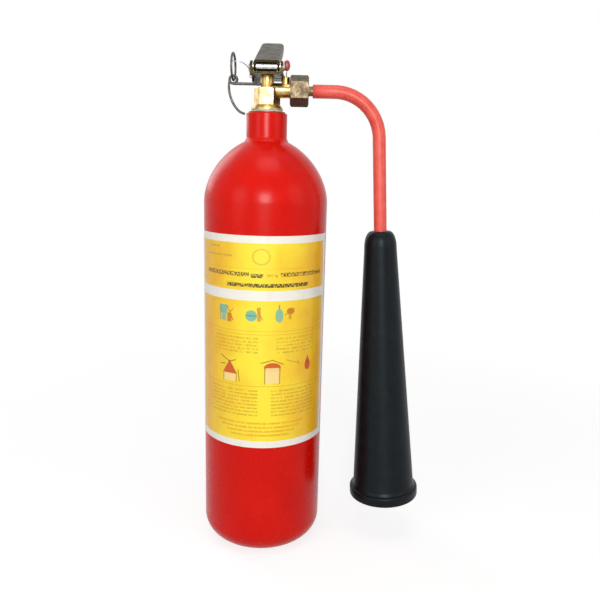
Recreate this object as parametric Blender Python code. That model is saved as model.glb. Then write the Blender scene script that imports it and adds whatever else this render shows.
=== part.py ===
"""Portable CO2 fire extinguisher, modelled piece by piece. Metres, +Z up.

The origin is the centre of the cylinder's flat foot, on the surface it stands on.
+X points to the discharge horn, and +Y along the squeeze lever and the handle.
"""

import math

import bmesh
import bpy
from mathutils import Matrix, Vector

# Clearances
GAP = 0.0003  # between pieces that touch
SLIDE_GAP = 0.0002  # round the sliding rod
THREAD_GAP = 0.0003  # round threads, which are plain here

# Cylinder
CYLINDER_RADIUS = 0.057
CYLINDER_WALL = 0.004
FOOT_THICKNESS = 0.006
FOOT_CORNER_RADIUS = 0.021
SHOULDER_START = 0.331  # height at which the straight wall ends
SHOULDER_RISE = 0.059
SHOULDER_POWER = 1.8
NECK_RADIUS = 0.0185
NECK_TOP = 0.410
NECK_FILLET = 0.004
NECK_EDGE = 0.0012
NECK_BORE_RADIUS = 0.0126

# Label
LABEL_BOTTOM = 0.1112
LABEL_TOP = 0.3048
LABEL_HALF_ANGLE = math.radians(75)
LABEL_THICKNESS = 0.0004

# Parts clamped between the neck and the valve
RETAINER_RING_THICKNESS = 0.0008
RETAINER_RING_RADIUS = 0.0166
NECK_SEAL_THICKNESS = 0.0010
NECK_SEAL_RADIUS = 0.0142

# Valve body, from its threaded plug up
PLUG_LENGTH = 0.0235
PLUG_CHAMFER = 0.0010
COLLAR_RADIUS = 0.0145
COLLAR_TOP_RADIUS = 0.0122
COLLAR_HEIGHT = 0.0045
HEX_WIDTH = 0.0205
HEX_HEIGHT = 0.0143
HEX_CHAMFER = 0.0010
BARREL_RADIUS = 0.0061
THREAD_RADIUS = 0.0048
THREAD_HEIGHT = 0.0073
STUD_CHAMFER = 0.0006  # on the ends of turned studs
SUPPLY_BORE_RADIUS = 0.0059
SEAT_HEIGHT = 0.0090  # of the seat's lower face over the collar's underside
SEAT_THICKNESS = 0.0015
SEAT_HOLE_RADIUS = 0.0029
CHAMBER_RADIUS = 0.0045
CHAMBER_HEIGHT = 0.0070
ORING_SECTION = 0.0007
ORING_POCKET_DEPTH = 0.0021
BUSH_THICKNESS = 0.0015

# Outlet and its union
OUTLET_HEIGHT = 0.0173  # of the outlet's axis over the collar's underside
OUTLET_RADIUS = 0.0065
OUTLET_SHOULDER = 0.0203  # distance of the branch's end from the valve's axis
OUTLET_THREAD_RADIUS = 0.0060
OUTLET_THREAD_END = 0.0303
OUTLET_BORE_RADIUS = 0.0035
OUTLET_BORE_START = 0.0120  # distance from the valve's axis
PASSAGE_RADIUS = 0.0024
PASSAGE_END = 0.0145  # distance from the valve's axis
PASSAGE_DROP = 0.0032  # the inner passage is this far under the outlet's axis
BOSS_RADIUS = 0.0036
BOSS_TOP = 0.0119  # over the outlet's axis
BOSS_X = 0.0166
UNION_WIDTH = 0.0240
UNION_LENGTH = 0.0168
UNION_END_WALL = 0.0031
UNION_CHAMFER = 0.0018
GASKET_THICKNESS = 0.0010
NIPPLE_FLANGE_THICKNESS = 0.0021
NIPPLE_FLANGE_RADIUS = 0.0059
NIPPLE_RADIUS = 0.0043
NIPPLE_BORE_RADIUS = 0.0030
NIPPLE_SHOWN = 0.0036  # bare length between the union nut and the tube
NIPPLE_TAIL = 0.0090

# Burst disc on the valve's back
BURST_HEIGHT = 0.0068  # over the collar's underside
BURST_BOSS_RADIUS = 0.0063
BURST_BOSS_LENGTH = 0.0042
BURST_SOCKET_RADIUS = 0.0047
BURST_SEAT_DEPTH = 0.0010  # of the socket's floor under the hexagon's flat
BURST_DISC_THICKNESS = 0.0003
BURST_HEAD_WIDTH = 0.0120
BURST_HEAD_LENGTH = 0.0050
BURST_HEAD_WALL = 0.0012
NUT_CHAMFER = 0.0007
BURST_PASSAGE_RADIUS = 0.0014
BURST_VENT_RADIUS = 0.0011

# Rod, poppet, spring and dip tube
ROD_RADIUS = 0.0025
ROD_NOSE_RADIUS = 0.0016
ROD_TRAVEL = 0.0028
ROD_NOSE_DROP = 0.0006  # of the nose's shoulder under the bush
ROD_NOSE_TAPER = 0.0004
ROD_TIP_LENGTH = 0.0018
POPPET_RADIUS = 0.0049
POPPET_HEIGHT = 0.0090
POPPET_SPIGOT_RADIUS = 0.0026
POPPET_SPIGOT_LENGTH = 0.0040
POPPET_CHAMFER = 0.0005
SEAT_DISC_RADIUS = 0.0046
SEAT_DISC_THICKNESS = 0.0012
SPRING_LENGTH = 0.0113
SPRING_RADIUS = 0.0040
SPRING_WIRE = 0.00055
SPRING_TURNS = 5
HOLDER_LENGTH = 0.0105
HOLDER_BORE_RADIUS = 0.0024
HOLDER_SOCKET_DEPTH = 0.0065
DIP_TUBE_RADIUS = 0.0045
DIP_TUBE_BORE_RADIUS = 0.0034
DIP_TUBE_FOOT_CLEARANCE = 0.008
DIP_TUBE_CUT_ANGLE = math.radians(35)

# Lever and handle; both are laid out round the pivot
PIVOT_Y = -0.012
PIVOT_RISE = 0.0359  # of the pivot over the collar's underside
PIVOT_RADIUS = 0.00385
PIVOT_PIN_RADIUS = 0.0021
PIVOT_HEAD_RADIUS = 0.0040
PIVOT_HEAD_THICKNESS = 0.0012
SHEET = 0.0020
TRIM = 0.0001  # skimmed off the top of the handle's web
LEVER_SLOPE = math.radians(16.5)
LEVER_LENGTH = 0.1165
LEVER_HALF_WIDTH = 0.0114
LEVER_WEB_RISE = 0.0043  # underside of the lever's web over the pivot
LEVER_FLANGE = 0.0080
LEVER_NECK_LENGTH = 0.0060  # of the flange's deep part beyond the eye
LEVER_NECK_DIP = 0.0012
LEVER_FLARE_END = 0.0160  # where the flange's depth settles, from the eye
LEVER_TIP_FLANGE = 0.0030
LEVER_EYE_RADIUS = PIVOT_RADIUS
HANDLE_SLOPE = math.radians(3.8)
HANDLE_LENGTH = 0.1160
EAR_SPACE = 0.0010  # between a flange of the lever and its ear
HANDLE_HALF_WIDTH = LEVER_HALF_WIDTH + EAR_SPACE + SHEET
HANDLE_WEB_DROP = PIVOT_RADIUS + GAP  # top of the handle's web under the pivot
HANDLE_FLANGE = 0.0056
HANDLE_TIP_FLANGE = 0.0020
HANDLE_LIP = 0.0010  # depth of the flange in front of the boss, under the web
HANDLE_FLANGE_START = BOSS_RADIUS + 0.0009 - PIVOT_Y  # from the pivot, clear of the boss
HANDLE_EAR_RADIUS = 0.0050
END_CORNER_RADIUS = 0.0080
BEND_RADIUS = 0.0024
WASHER_THICKNESS = 0.0004
WASHER_RADIUS = PIVOT_RADIUS
LOCK_NUT_WIDTH = 0.0140
LOCK_NUT_HEIGHT = 0.0032

# Safety pin and pull ring
PIN_RADIUS = 0.0013
PIN_RISE = 0.0225  # of the pin's rod over the collar's underside
PIN_END_X = 0.0086
PIN_EYE_X = -0.0305
PIN_EYE_RADIUS = 0.0034
TAIL_RADIUS = 0.0011
TAIL_ROUTE = ((-0.0006, 0.0025), (0.0004, 0.0100), (0.0035, 0.0175), (0.0085, 0.0237))
TAIL_DROP = 0.0262  # of the tail's end under the rod; the route is (inward, down)
RING_RADIUS = 0.0116
RING_WIRE = 0.0011
RING_TURN = math.radians(-3.3)
RING_REST = 0.0006  # of the ring's wire centre under the eye's centre

# Tamper seal
SEAL_WIRE_RADIUS = 0.00045
SEAL_HOLE_RADIUS = 0.0009
SEAL_Y = 0.0095
SEAL_DROP = 0.0022  # of the wire under the handle's web
SEAL_RISE = 0.0048  # of the wire's end over the ring's centre
SEAL_REACH = 0.0030  # of the wire's end past the ring
TAG_SIZE = Vector((0.0062, 0.0034, 0.0097))
TAG_CENTRE_X = 0.0173
TAG_CENTRE_Y = 0.0020
TAG_RISE = 0.0391  # of the tag's centre over the collar's underside

# Discharge tube
TUBE_RADIUS = 0.0060
TUBE_BORE_RADIUS = 0.0046
TUBE_BEND_START = 0.0608
TUBE_BEND_RADIUS = 0.0420
TUBE_LEAN = math.radians(3.4)  # of the drop, away from the cylinder
TUBE_DROP = 0.0845  # from the bend to the horn's top
TUBE_IN_HORN = 0.0140

# Horn
HORN_LENGTH = 0.2660
HORN_WALL = 0.0022
HORN_TOP_RADIUS = 0.0153
HORN_DOME_LENGTH = 0.0170
HORN_MOUTH_RADIUS = 0.0309
HORN_RIM_RADIUS = 0.0339
HORN_RIM_HEIGHT = 0.0095
HORN_RIM_EDGE = 0.0016
HORN_LIP_DEPTH = 0.0030
HORN_DOME = ((0.0088, 0.0004), (0.0114, 0.0026), (0.0133, 0.0062), (0.0145, 0.0112))
HORN_DOME_INSIDE = ((0.0122, 0.0118), (0.0112, 0.0074), (0.0094, 0.0042))
HORN_DOME_WALL = 0.0030  # at the tube; dome points are (radius, depth)
HORN_NUT_WIDTH = 0.0170
HORN_NUT_HEIGHT = 0.0050
HORN_NUT_DEPTH = 0.0048  # of its upper face under the horn's top
HORN_NUT_CHAMFER = 0.0008
HORN_NUT_CONE_RADIUS = 0.0080
HORN_NUT_CONE_DEPTH = 0.0030
JET_RADIUS = 0.0072
JET_LENGTH = 0.0120
JET_BORE_RADIUS = 0.0020
JET_TAIL = 0.0060  # length inside the tube

# Heights that follow from the stack on the neck
RETAINER_RING_Z = NECK_TOP + GAP
NECK_SEAL_Z = RETAINER_RING_Z + RETAINER_RING_THICKNESS + GAP
COLLAR_Z = NECK_SEAL_Z + NECK_SEAL_THICKNESS + GAP
HEX_Z = COLLAR_Z + COLLAR_HEIGHT
BARREL_Z = HEX_Z + HEX_HEIGHT
PLUG_Z = COLLAR_Z - PLUG_LENGTH
SEAT_Z = COLLAR_Z + SEAT_HEIGHT
CHAMBER_Z = SEAT_Z + SEAT_THICKNESS
CHAMBER_TOP = CHAMBER_Z + CHAMBER_HEIGHT
ORING_POCKET_TOP = CHAMBER_TOP + ORING_POCKET_DEPTH
OUTLET_Z = COLLAR_Z + OUTLET_HEIGHT
BURST_Z = COLLAR_Z + BURST_HEIGHT
BURST_SEAT_Y = HEX_WIDTH / 2 - BURST_SEAT_DEPTH
BURST_BOSS_END = HEX_WIDTH / 2 + BURST_BOSS_LENGTH
PIVOT = Vector((0, PIVOT_Y, COLLAR_Z + PIVOT_RISE))
THREAD_Z = (PIVOT.z - (HANDLE_WEB_DROP + TRIM + SHEET) / math.cos(HANDLE_SLOPE)
            - (PIVOT.y + BARREL_RADIUS) * math.tan(HANDLE_SLOPE) - GAP)
THREAD_TOP = THREAD_Z + THREAD_HEIGHT
PIN_Z = COLLAR_Z + PIN_RISE
ROD_BORE_RADIUS = ROD_RADIUS + SLIDE_GAP
UNION_X = OUTLET_SHOULDER + GAP
UNION_END = UNION_X + UNION_LENGTH
GASKET_X = OUTLET_THREAD_END + GAP
FLANGE_X = GASKET_X + GASKET_THICKNESS + GAP
TUBE_START = UNION_END + NIPPLE_SHOWN

ROUND_SEGMENTS = 48
SMALL_SEGMENTS = 20
CHAMFER_SLOPE = 0.6  # rise over run of the turned corners of a hexagon
CONE_OVERRUN = 0.0005
OVERCUT = 0.0010  # how far a cutter runs past what it cuts
PLAN_MARGIN = 0.0005  # between a sheet's plan cutter and its straight sides
PLAN_DEPTH = 0.0200
WELD = 0.000001  # vertices this near each other are one
X_AXIS = Matrix.Rotation(math.radians(90), 4, "Y")  # turns +Z onto +X
Y_AXIS = Matrix.Rotation(math.radians(-90), 4, "X")  # turns +Z onto +Y


# ---------------------------------------------------------------- materials

def material(name, colour, roughness, metallic=0.0):
    made = bpy.data.materials.new(name)
    made.use_nodes = True
    shader = made.node_tree.nodes["Principled BSDF"]
    shader.inputs["Base Color"].default_value = (*colour, 1.0)
    shader.inputs["Roughness"].default_value = roughness
    shader.inputs["Metallic"].default_value = metallic
    made.diffuse_color = (*colour, 1.0)
    return made


def red_paint(name):
    return material(name, (0.72, 0.012, 0.008), 0.25)


def brass(name):
    return material(name, (0.80, 0.58, 0.22), 0.25, 1.0)


def plated_steel(name):
    return material(name, (0.20, 0.16, 0.11), 0.35, 0.8)


def bright_steel(name):
    return material(name, (0.62, 0.62, 0.60), 0.28, 1.0)


def rubber(name):
    return material(name, (0.03, 0.03, 0.03), 0.8)


# ------------------------------------------------------------ shape helpers

def add_object(name, mesh, made_material, smooth_angle=40):
    mesh.name = name
    mesh.materials.clear()
    mesh.materials.append(made_material)
    mesh.shade_smooth()
    mesh.set_sharp_from_angle(angle=math.radians(smooth_angle))
    placed = bpy.data.objects.new(name, mesh)
    bpy.context.scene.collection.objects.link(placed)
    return placed


def mesh_from(bm):
    bmesh.ops.remove_doubles(bm, verts=bm.verts, dist=WELD)
    bmesh.ops.recalc_face_normals(bm, faces=bm.faces)
    mesh = bpy.data.meshes.new("shape")
    bm.to_mesh(mesh)
    bm.free()
    return mesh


def turned(profile, segments=SMALL_SEGMENTS, place=None):
    """A closed outline of (radius, height) points, spun about +Z."""
    bm = bmesh.new()
    points = [bm.verts.new((radius, 0, height)) for radius, height in profile]
    edges = []
    for start, end in zip(points, points[1:] + points[:1]):
        if start.co.x > 0 or end.co.x > 0:
            edges.append(bm.edges.new((start, end)))
    bmesh.ops.spin(bm, geom=points + edges, cent=(0, 0, 0), axis=(0, 0, 1),
                   angle=2 * math.pi, steps=segments, use_merge=True)
    mesh = mesh_from(bm)
    if place is not None:
        mesh.transform(place)
    return mesh


def rod(radius, start, end, segments=SMALL_SEGMENTS, place=None):
    """A plain cylinder along +Z, from start to end."""
    return turned([(0, start), (radius, start), (radius, end), (0, end)], segments, place)


def ring(inner, outer, start, end, segments=SMALL_SEGMENTS, place=None):
    """A tube along +Z, from start to end."""
    outline = [(outer, start), (outer, end), (inner, end), (inner, start)]
    return turned(outline, segments, place)


def prism(outline, low, high, place=None):
    """A flat outline of (x, y) points, extruded along +Z from low to high."""
    bm = bmesh.new()
    face = bm.faces.new([bm.verts.new((x, y, low)) for x, y in outline])
    grown = bmesh.ops.extrude_face_region(bm, geom=[face])
    moved = [item for item in grown["geom"] if isinstance(item, bmesh.types.BMVert)]
    bmesh.ops.translate(bm, verts=moved, vec=(0, 0, high - low))
    mesh = mesh_from(bm)
    if place is not None:
        mesh.transform(place)
    return mesh


def arc(centre, radius, start, end, steps):
    """Points on a circle, angles in degrees, both ends included."""
    points = []
    for step in range(steps + 1):
        angle = math.radians(start + (end - start) * step / steps)
        points.append((centre[0] + radius * math.cos(angle),
                       centre[1] + radius * math.sin(angle)))
    return points


def hexagon(width, turn=0):
    """Corners of a hexagon of that width across its flats."""
    return arc((0, 0), width / math.sqrt(3), turn, turn + 300, 5)


def hex_bar(width, low, high, chamfer=0.0, turn=0, place=None):
    """A hexagonal bar whose end corners are turned down by a cone."""
    bar = prism(hexagon(width, turn), low, high)
    if chamfer:
        corner = width / math.sqrt(3)
        lead = CONE_OVERRUN / CHAMFER_SLOPE
        tip = corner - chamfer - lead
        reach = corner + chamfer
        rise = 2 * chamfer * CHAMFER_SLOPE
        cone = [(0, low - CONE_OVERRUN), (tip, low - CONE_OVERRUN), (reach, low + rise),
                (reach, high - rise), (tip, high + CONE_OVERRUN), (0, high + CONE_OVERRUN)]
        bar = combine(bar, "INTERSECT", turned(cone, 32))
    if place is not None:
        bar.transform(place)
    return bar


def swept(path, radius, sides=8, closed=False):
    """A round wire along a list of points."""
    points = [Vector(point) for point in path]
    count = len(points)
    bm = bmesh.new()
    loops = []
    side = None
    for index, point in enumerate(points):
        before = points[index - 1] if closed or index else point
        after = points[(index + 1) % count] if closed or index < count - 1 else point
        along = (after - before).normalized()
        if side is None:
            side = along.orthogonal().normalized()
        side = (side - along * side.dot(along)).normalized()
        up = along.cross(side)
        loop = []
        for step in range(sides):
            angle = 2 * math.pi * step / sides
            offset = (side * math.cos(angle) + up * math.sin(angle)) * radius
            loop.append(bm.verts.new(point + offset))
        loops.append(loop)
    pairs = list(zip(loops, loops[1:]))
    if closed:
        pairs.append((loops[-1], loops[0]))
    for first, second in pairs:
        for step in range(sides):
            turn = (step + 1) % sides
            bm.faces.new((first[step], first[turn], second[turn], second[step]))
    if not closed:
        bm.faces.new(loops[0])
        bm.faces.new(loops[-1])
    return mesh_from(bm)


def circle_path(centre, radius, first, second, steps):
    """Points on a circle in the plane of two unit vectors."""
    points = []
    for step in range(steps):
        angle = 2 * math.pi * step / steps
        points.append(centre + first * radius * math.cos(angle)
                      + second * radius * math.sin(angle))
    return points


def smooth_path(points, per_span=6):
    """A Catmull-Rom curve through the points."""
    knots = [Vector(point) for point in points]
    knots = [knots[0] * 2 - knots[1]] + knots + [knots[-1] * 2 - knots[-2]]
    path = []
    for index in range(1, len(knots) - 2):
        before, start, end, after = knots[index - 1:index + 3]
        for step in range(per_span):
            t = step / per_span
            path.append(0.5 * (2 * start + (end - before) * t
                               + (2 * before - 5 * start + 4 * end - after) * t ** 2
                               + (3 * start - before - 3 * end + after) * t ** 3))
    path.append(knots[-2])
    return path


def combine(mesh, operation, *others):
    """The mesh after a Boolean with each of the others in turn."""
    base = bpy.data.objects.new("base", mesh)
    scene = bpy.context.scene.collection.objects
    scene.link(base)
    tools = []
    for other in others:
        tool = bpy.data.objects.new("tool", other)
        scene.link(tool)
        tools.append(tool)
        step = base.modifiers.new("step", "BOOLEAN")
        step.operation = operation
        step.solver = "EXACT"
        step.object = tool
    bpy.context.view_layer.update()
    evaluated = base.evaluated_get(bpy.context.evaluated_depsgraph_get())
    bm = bmesh.new()
    bm.from_mesh(bpy.data.meshes.new_from_object(evaluated))
    for used in [base, *tools]:
        bpy.data.objects.remove(used)
    bmesh.ops.dissolve_degenerate(bm, edges=bm.edges, dist=WELD)
    return mesh_from(bm)


# ----------------------------------------------------------------- cylinder

def shoulder_points(shrink, count):
    """The domed shoulder from the straight wall to the neck, shrunk by a wall."""
    radius = CYLINDER_RADIUS - shrink
    rise = SHOULDER_RISE - shrink
    neck = (NECK_BORE_RADIUS if shrink else NECK_RADIUS + NECK_FILLET * 0.4)
    last = math.acos((neck / radius) ** (SHOULDER_POWER / 2))
    points = []
    for step in range(count + 1):
        angle = last * step / count
        points.append((radius * math.cos(angle) ** (2 / SHOULDER_POWER),
                       SHOULDER_START + rise * math.sin(angle) ** (2 / SHOULDER_POWER)))
    return points


def cylinder_shell():
    corner = FOOT_CORNER_RADIUS
    outer = [(CYLINDER_RADIUS - corner, 0)]
    outer += arc((CYLINDER_RADIUS - corner, corner), corner, -78, 0, 6)
    outer += shoulder_points(0, 9)
    top_of_dome = outer[-1]
    outer += [(NECK_RADIUS + NECK_FILLET * 0.1, top_of_dome[1] + NECK_FILLET * 0.5),
              (NECK_RADIUS, top_of_dome[1] + NECK_FILLET),
              (NECK_RADIUS, NECK_TOP - NECK_EDGE), (NECK_RADIUS - NECK_EDGE, NECK_TOP)]
    inner_corner = corner - CYLINDER_WALL
    inner = [(NECK_BORE_RADIUS, NECK_TOP)]
    inner += list(reversed(shoulder_points(CYLINDER_WALL, 6)))
    inner += arc((CYLINDER_RADIUS - corner, FOOT_THICKNESS + inner_corner),
                 inner_corner, 0, -90, 4)
    mesh = turned([(0, 0)] + outer + inner + [(0, FOOT_THICKNESS)], ROUND_SEGMENTS)
    add_object("cylinder_shell", mesh, red_paint("cylinder paint"))


def label_wrap():
    """A thin sheet bent round the front of the cylinder."""
    facets = round(2 * LABEL_HALF_ANGLE / (2 * math.pi / ROUND_SEGMENTS))
    facets -= facets % 2
    step = 360 / ROUND_SEGMENTS
    low = -90 - step * facets / 2
    high = -90 + step * facets / 2
    inner = CYLINDER_RADIUS + GAP
    outline = arc((0, 0), inner + LABEL_THICKNESS, low, high, facets)
    outline += arc((0, 0), inner, high, low, facets)
    mesh = prism(outline, LABEL_BOTTOM, LABEL_TOP)
    add_object("label_wrap", mesh, material("label paper", (0.92, 0.66, 0.05), 0.4))


# -------------------------------------------------------------------- valve

def retainer_ring():
    """A thin ring clamped between the neck and the valve."""
    place = RETAINER_RING_Z
    washer = ring(NECK_BORE_RADIUS + GAP, RETAINER_RING_RADIUS,
                  place, place + RETAINER_RING_THICKNESS, 36)
    add_object("retainer_ring", washer, bright_steel("retainer ring zinc"))


def neck_seal():
    washer = ring(NECK_BORE_RADIUS + GAP, NECK_SEAL_RADIUS,
                  NECK_SEAL_Z, NECK_SEAL_Z + NECK_SEAL_THICKNESS, 36)
    add_object("neck_seal", washer, material("seal nylon", (0.75, 0.73, 0.68), 0.5))


def valve_outside():
    """The valve's outer form: plug, collar, hexagon, barrel, branch and bosses."""
    plug_radius = NECK_BORE_RADIUS - THREAD_GAP
    stem = turned([(0, PLUG_Z), (plug_radius - PLUG_CHAMFER, PLUG_Z),
                   (plug_radius, PLUG_Z + PLUG_CHAMFER),
                   (plug_radius, COLLAR_Z), (COLLAR_RADIUS, COLLAR_Z),
                   (COLLAR_RADIUS, COLLAR_Z + COLLAR_HEIGHT * 0.3), (COLLAR_TOP_RADIUS, HEX_Z),
                   (BARREL_RADIUS, HEX_Z), (BARREL_RADIUS, THREAD_Z),
                   (THREAD_RADIUS, THREAD_Z), (THREAD_RADIUS, THREAD_TOP - STUD_CHAMFER),
                   (THREAD_RADIUS - STUD_CHAMFER, THREAD_TOP), (0, THREAD_TOP)], 36)
    body = hex_bar(HEX_WIDTH, HEX_Z - OVERCUT, BARREL_Z, HEX_CHAMFER)
    at_outlet = Matrix.Translation((0, 0, OUTLET_Z)) @ X_AXIS
    branch = turned([(0, 0), (OUTLET_RADIUS, 0), (OUTLET_RADIUS, OUTLET_SHOULDER),
                     (OUTLET_THREAD_RADIUS, OUTLET_SHOULDER),
                     (OUTLET_THREAD_RADIUS, OUTLET_THREAD_END), (0, OUTLET_THREAD_END)],
                    24, at_outlet)
    boss = turned([(0, 0), (BOSS_RADIUS, 0), (BOSS_RADIUS, BOSS_TOP - STUD_CHAMFER),
                   (BOSS_RADIUS - STUD_CHAMFER, BOSS_TOP), (0, BOSS_TOP)], 16,
                  Matrix.Translation((BOSS_X, 0, OUTLET_Z)))
    at_burst = Matrix.Translation((0, 0, BURST_Z)) @ Y_AXIS
    burst_boss = rod(BURST_BOSS_RADIUS, 0, BURST_BOSS_END, 20, at_burst)
    return combine(stem, "UNION", body, branch, boss, burst_boss)


def valve_body():
    supply = rod(SUPPLY_BORE_RADIUS, PLUG_Z - OVERCUT, SEAT_Z, 24)
    seat = rod(SEAT_HOLE_RADIUS, SEAT_Z - OVERCUT, CHAMBER_Z + OVERCUT, 16)
    chamber = rod(CHAMBER_RADIUS, CHAMBER_Z, CHAMBER_TOP, 24)
    pocket_radius = ROD_RADIUS + 2 * ORING_SECTION + 2 * SLIDE_GAP
    pocket = rod(pocket_radius, CHAMBER_TOP - OVERCUT, ORING_POCKET_TOP, 20)
    guide = rod(ROD_BORE_RADIUS, CHAMBER_TOP + ORING_POCKET_DEPTH / 2,
                THREAD_TOP + OVERCUT, 20)
    passage = rod(PASSAGE_RADIUS, CHAMBER_RADIUS / 2, PASSAGE_END, 16,
                  Matrix.Translation((0, 0, OUTLET_Z - PASSAGE_DROP)) @ X_AXIS)
    bore = rod(OUTLET_BORE_RADIUS, OUTLET_BORE_START, OUTLET_THREAD_END + OVERCUT, 20,
               Matrix.Translation((0, 0, OUTLET_Z)) @ X_AXIS)
    pin_hole = rod(PIN_RADIUS + GAP, -HEX_WIDTH, PIN_END_X + GAP, 16,
                   Matrix.Translation((0, 0, PIN_Z)) @ X_AXIS)
    at_burst = Matrix.Translation((0, 0, BURST_Z)) @ Y_AXIS
    burst_hole = rod(BURST_PASSAGE_RADIUS, SUPPLY_BORE_RADIUS / 2, HEX_WIDTH, 12, at_burst)
    socket = rod(BURST_SOCKET_RADIUS, BURST_SEAT_Y, BURST_BOSS_END + OVERCUT, 20, at_burst)
    mesh = combine(valve_outside(), "DIFFERENCE", supply, seat, chamber, pocket, guide,
                   passage, bore, pin_hole, burst_hole, socket)
    add_object("valve_body", mesh, brass("valve brass"), 30)


def burst_disc():
    seat = BURST_SEAT_Y + GAP
    mesh = rod(BURST_SOCKET_RADIUS - GAP, seat, seat + BURST_DISC_THICKNESS, 20,
               Matrix.Translation((0, 0, BURST_Z)) @ Y_AXIS)
    add_object("burst_disc", mesh, material("disc nickel", (0.7, 0.7, 0.68), 0.3, 1.0))


def burst_disc_plug():
    """A hexagon-headed plug with a blind bore and four side vents."""
    place = Matrix.Translation((0, 0, BURST_Z)) @ Y_AXIS
    start = BURST_SEAT_Y + 2 * GAP + BURST_DISC_THICKNESS
    head = BURST_BOSS_END + GAP
    end = head + BURST_HEAD_LENGTH
    shank = rod(BURST_SOCKET_RADIUS - THREAD_GAP, start, head + OVERCUT, 20, place)
    cap = hex_bar(BURST_HEAD_WIDTH, head, end, NUT_CHAMFER, 30, place)
    bore = rod(BURST_PASSAGE_RADIUS, start - OVERCUT, end - BURST_HEAD_WALL, 12, place)
    vent_y = head + BURST_HEAD_LENGTH / 2
    vents = []
    for turn in (0, 90):
        across = Matrix.Rotation(math.radians(turn), 4, "Y") @ X_AXIS
        vents.append(rod(BURST_VENT_RADIUS, -BURST_HEAD_WIDTH, BURST_HEAD_WIDTH, 10,
                         Matrix.Translation((0, vent_y, BURST_Z)) @ across))
    mesh = combine(combine(shank, "UNION", cap), "DIFFERENCE", bore, *vents)
    add_object("burst_disc_plug", mesh, brass("burst plug brass"), 30)


def stem_oring():
    centre = Vector((0, 0, CHAMBER_TOP + ORING_POCKET_DEPTH / 2))
    radius = ROD_RADIUS + SLIDE_GAP + ORING_SECTION
    path = circle_path(centre, radius, Vector((1, 0, 0)), Vector((0, 1, 0)), 20)
    add_object("stem_oring", swept(path, ORING_SECTION, 6, True), rubber("oring rubber"))


def stem_bush():
    """Closes the O-ring's pocket from below."""
    mesh = ring(ROD_BORE_RADIUS, CHAMBER_RADIUS - SLIDE_GAP,
                CHAMBER_TOP - SLIDE_GAP - BUSH_THICKNESS, CHAMBER_TOP - SLIDE_GAP)
    add_object("stem_bush", mesh, brass("bush brass"))


def lever_underside(y):
    """Height of the underside of the lever's web over a point of the centre plane."""
    along = y - PIVOT.y
    return PIVOT.z + LEVER_WEB_RISE / math.cos(LEVER_SLOPE) + along * math.tan(LEVER_SLOPE)


def push_rod():
    """Slides in the valve: the lever presses its top, its nose opens the poppet."""
    nose_top = CHAMBER_TOP - BUSH_THICKNESS - ROD_NOSE_DROP
    top = lever_underside(-ROD_RADIUS * 0.3) - GAP
    mesh = turned([(0, SEAT_Z), (ROD_NOSE_RADIUS, SEAT_Z), (ROD_NOSE_RADIUS, nose_top),
                   (ROD_RADIUS, nose_top + ROD_NOSE_TAPER), (ROD_RADIUS, top - ROD_TIP_LENGTH),
                   (ROD_RADIUS * 0.7, top - ROD_TIP_LENGTH * 0.45),
                   (ROD_RADIUS * 0.3, top), (0, top)])
    half = PIN_RADIUS + GAP
    wide = 2 * ROD_RADIUS
    slot = prism([(-wide, -half), (wide, -half), (wide, half), (-wide, half)],
                 PIN_Z - half, PIN_Z + half + ROD_TRAVEL)
    add_object("push_rod", combine(mesh, "DIFFERENCE", slot), bright_steel("rod steel"))


def valve_poppet():
    low = poppet_underside()
    top = low + POPPET_HEIGHT
    end = low - POPPET_SPIGOT_LENGTH
    mesh = turned([(0, end), (POPPET_SPIGOT_RADIUS - POPPET_CHAMFER, end),
                   (POPPET_SPIGOT_RADIUS, end + POPPET_CHAMFER),
                   (POPPET_SPIGOT_RADIUS, low), (POPPET_RADIUS, low),
                   (POPPET_RADIUS, top), (0, top)])
    add_object("valve_poppet", mesh, brass("poppet brass"))


def seat_disc():
    top = SEAT_Z - GAP
    mesh = rod(SEAT_DISC_RADIUS, top - SEAT_DISC_THICKNESS, top)
    add_object("seat_disc", mesh, material("disc nylon", (0.85, 0.84, 0.80), 0.5))


def poppet_underside():
    return SEAT_Z - 2 * GAP - SEAT_DISC_THICKNESS - POPPET_HEIGHT


def holder_top():
    return poppet_underside() - 2 * GAP - SPRING_LENGTH


def valve_spring():
    """A coil between the dip tube's holder and the poppet."""
    low = holder_top() + GAP + SPRING_WIRE
    rise = SPRING_LENGTH - 2 * SPRING_WIRE
    steps = SPRING_TURNS * 12
    path = []
    for step in range(steps + 1):
        share = step / steps
        angle = 2 * math.pi * SPRING_TURNS * share
        lift = min(max((share - 0.1) / 0.8, 0.0), 1.0)
        path.append((SPRING_RADIUS * math.cos(angle), SPRING_RADIUS * math.sin(angle),
                     low + rise * (0.9 * lift + 0.1 * share)))
    add_object("valve_spring", swept(path, SPRING_WIRE, 6), bright_steel("spring steel"))


def dip_tube_holder():
    """Screws into the valve from below; seats the spring and grips the dip tube."""
    top = holder_top()
    low = top - HOLDER_LENGTH
    socket = low + HOLDER_SOCKET_DEPTH
    outer = SUPPLY_BORE_RADIUS - THREAD_GAP
    grip = DIP_TUBE_RADIUS + SLIDE_GAP
    mesh = turned([(grip, low), (outer, low), (outer, top), (HOLDER_BORE_RADIUS, top),
                   (HOLDER_BORE_RADIUS, socket), (grip, socket)], 24)
    add_object("dip_tube_holder", mesh, brass("holder brass"))


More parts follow.
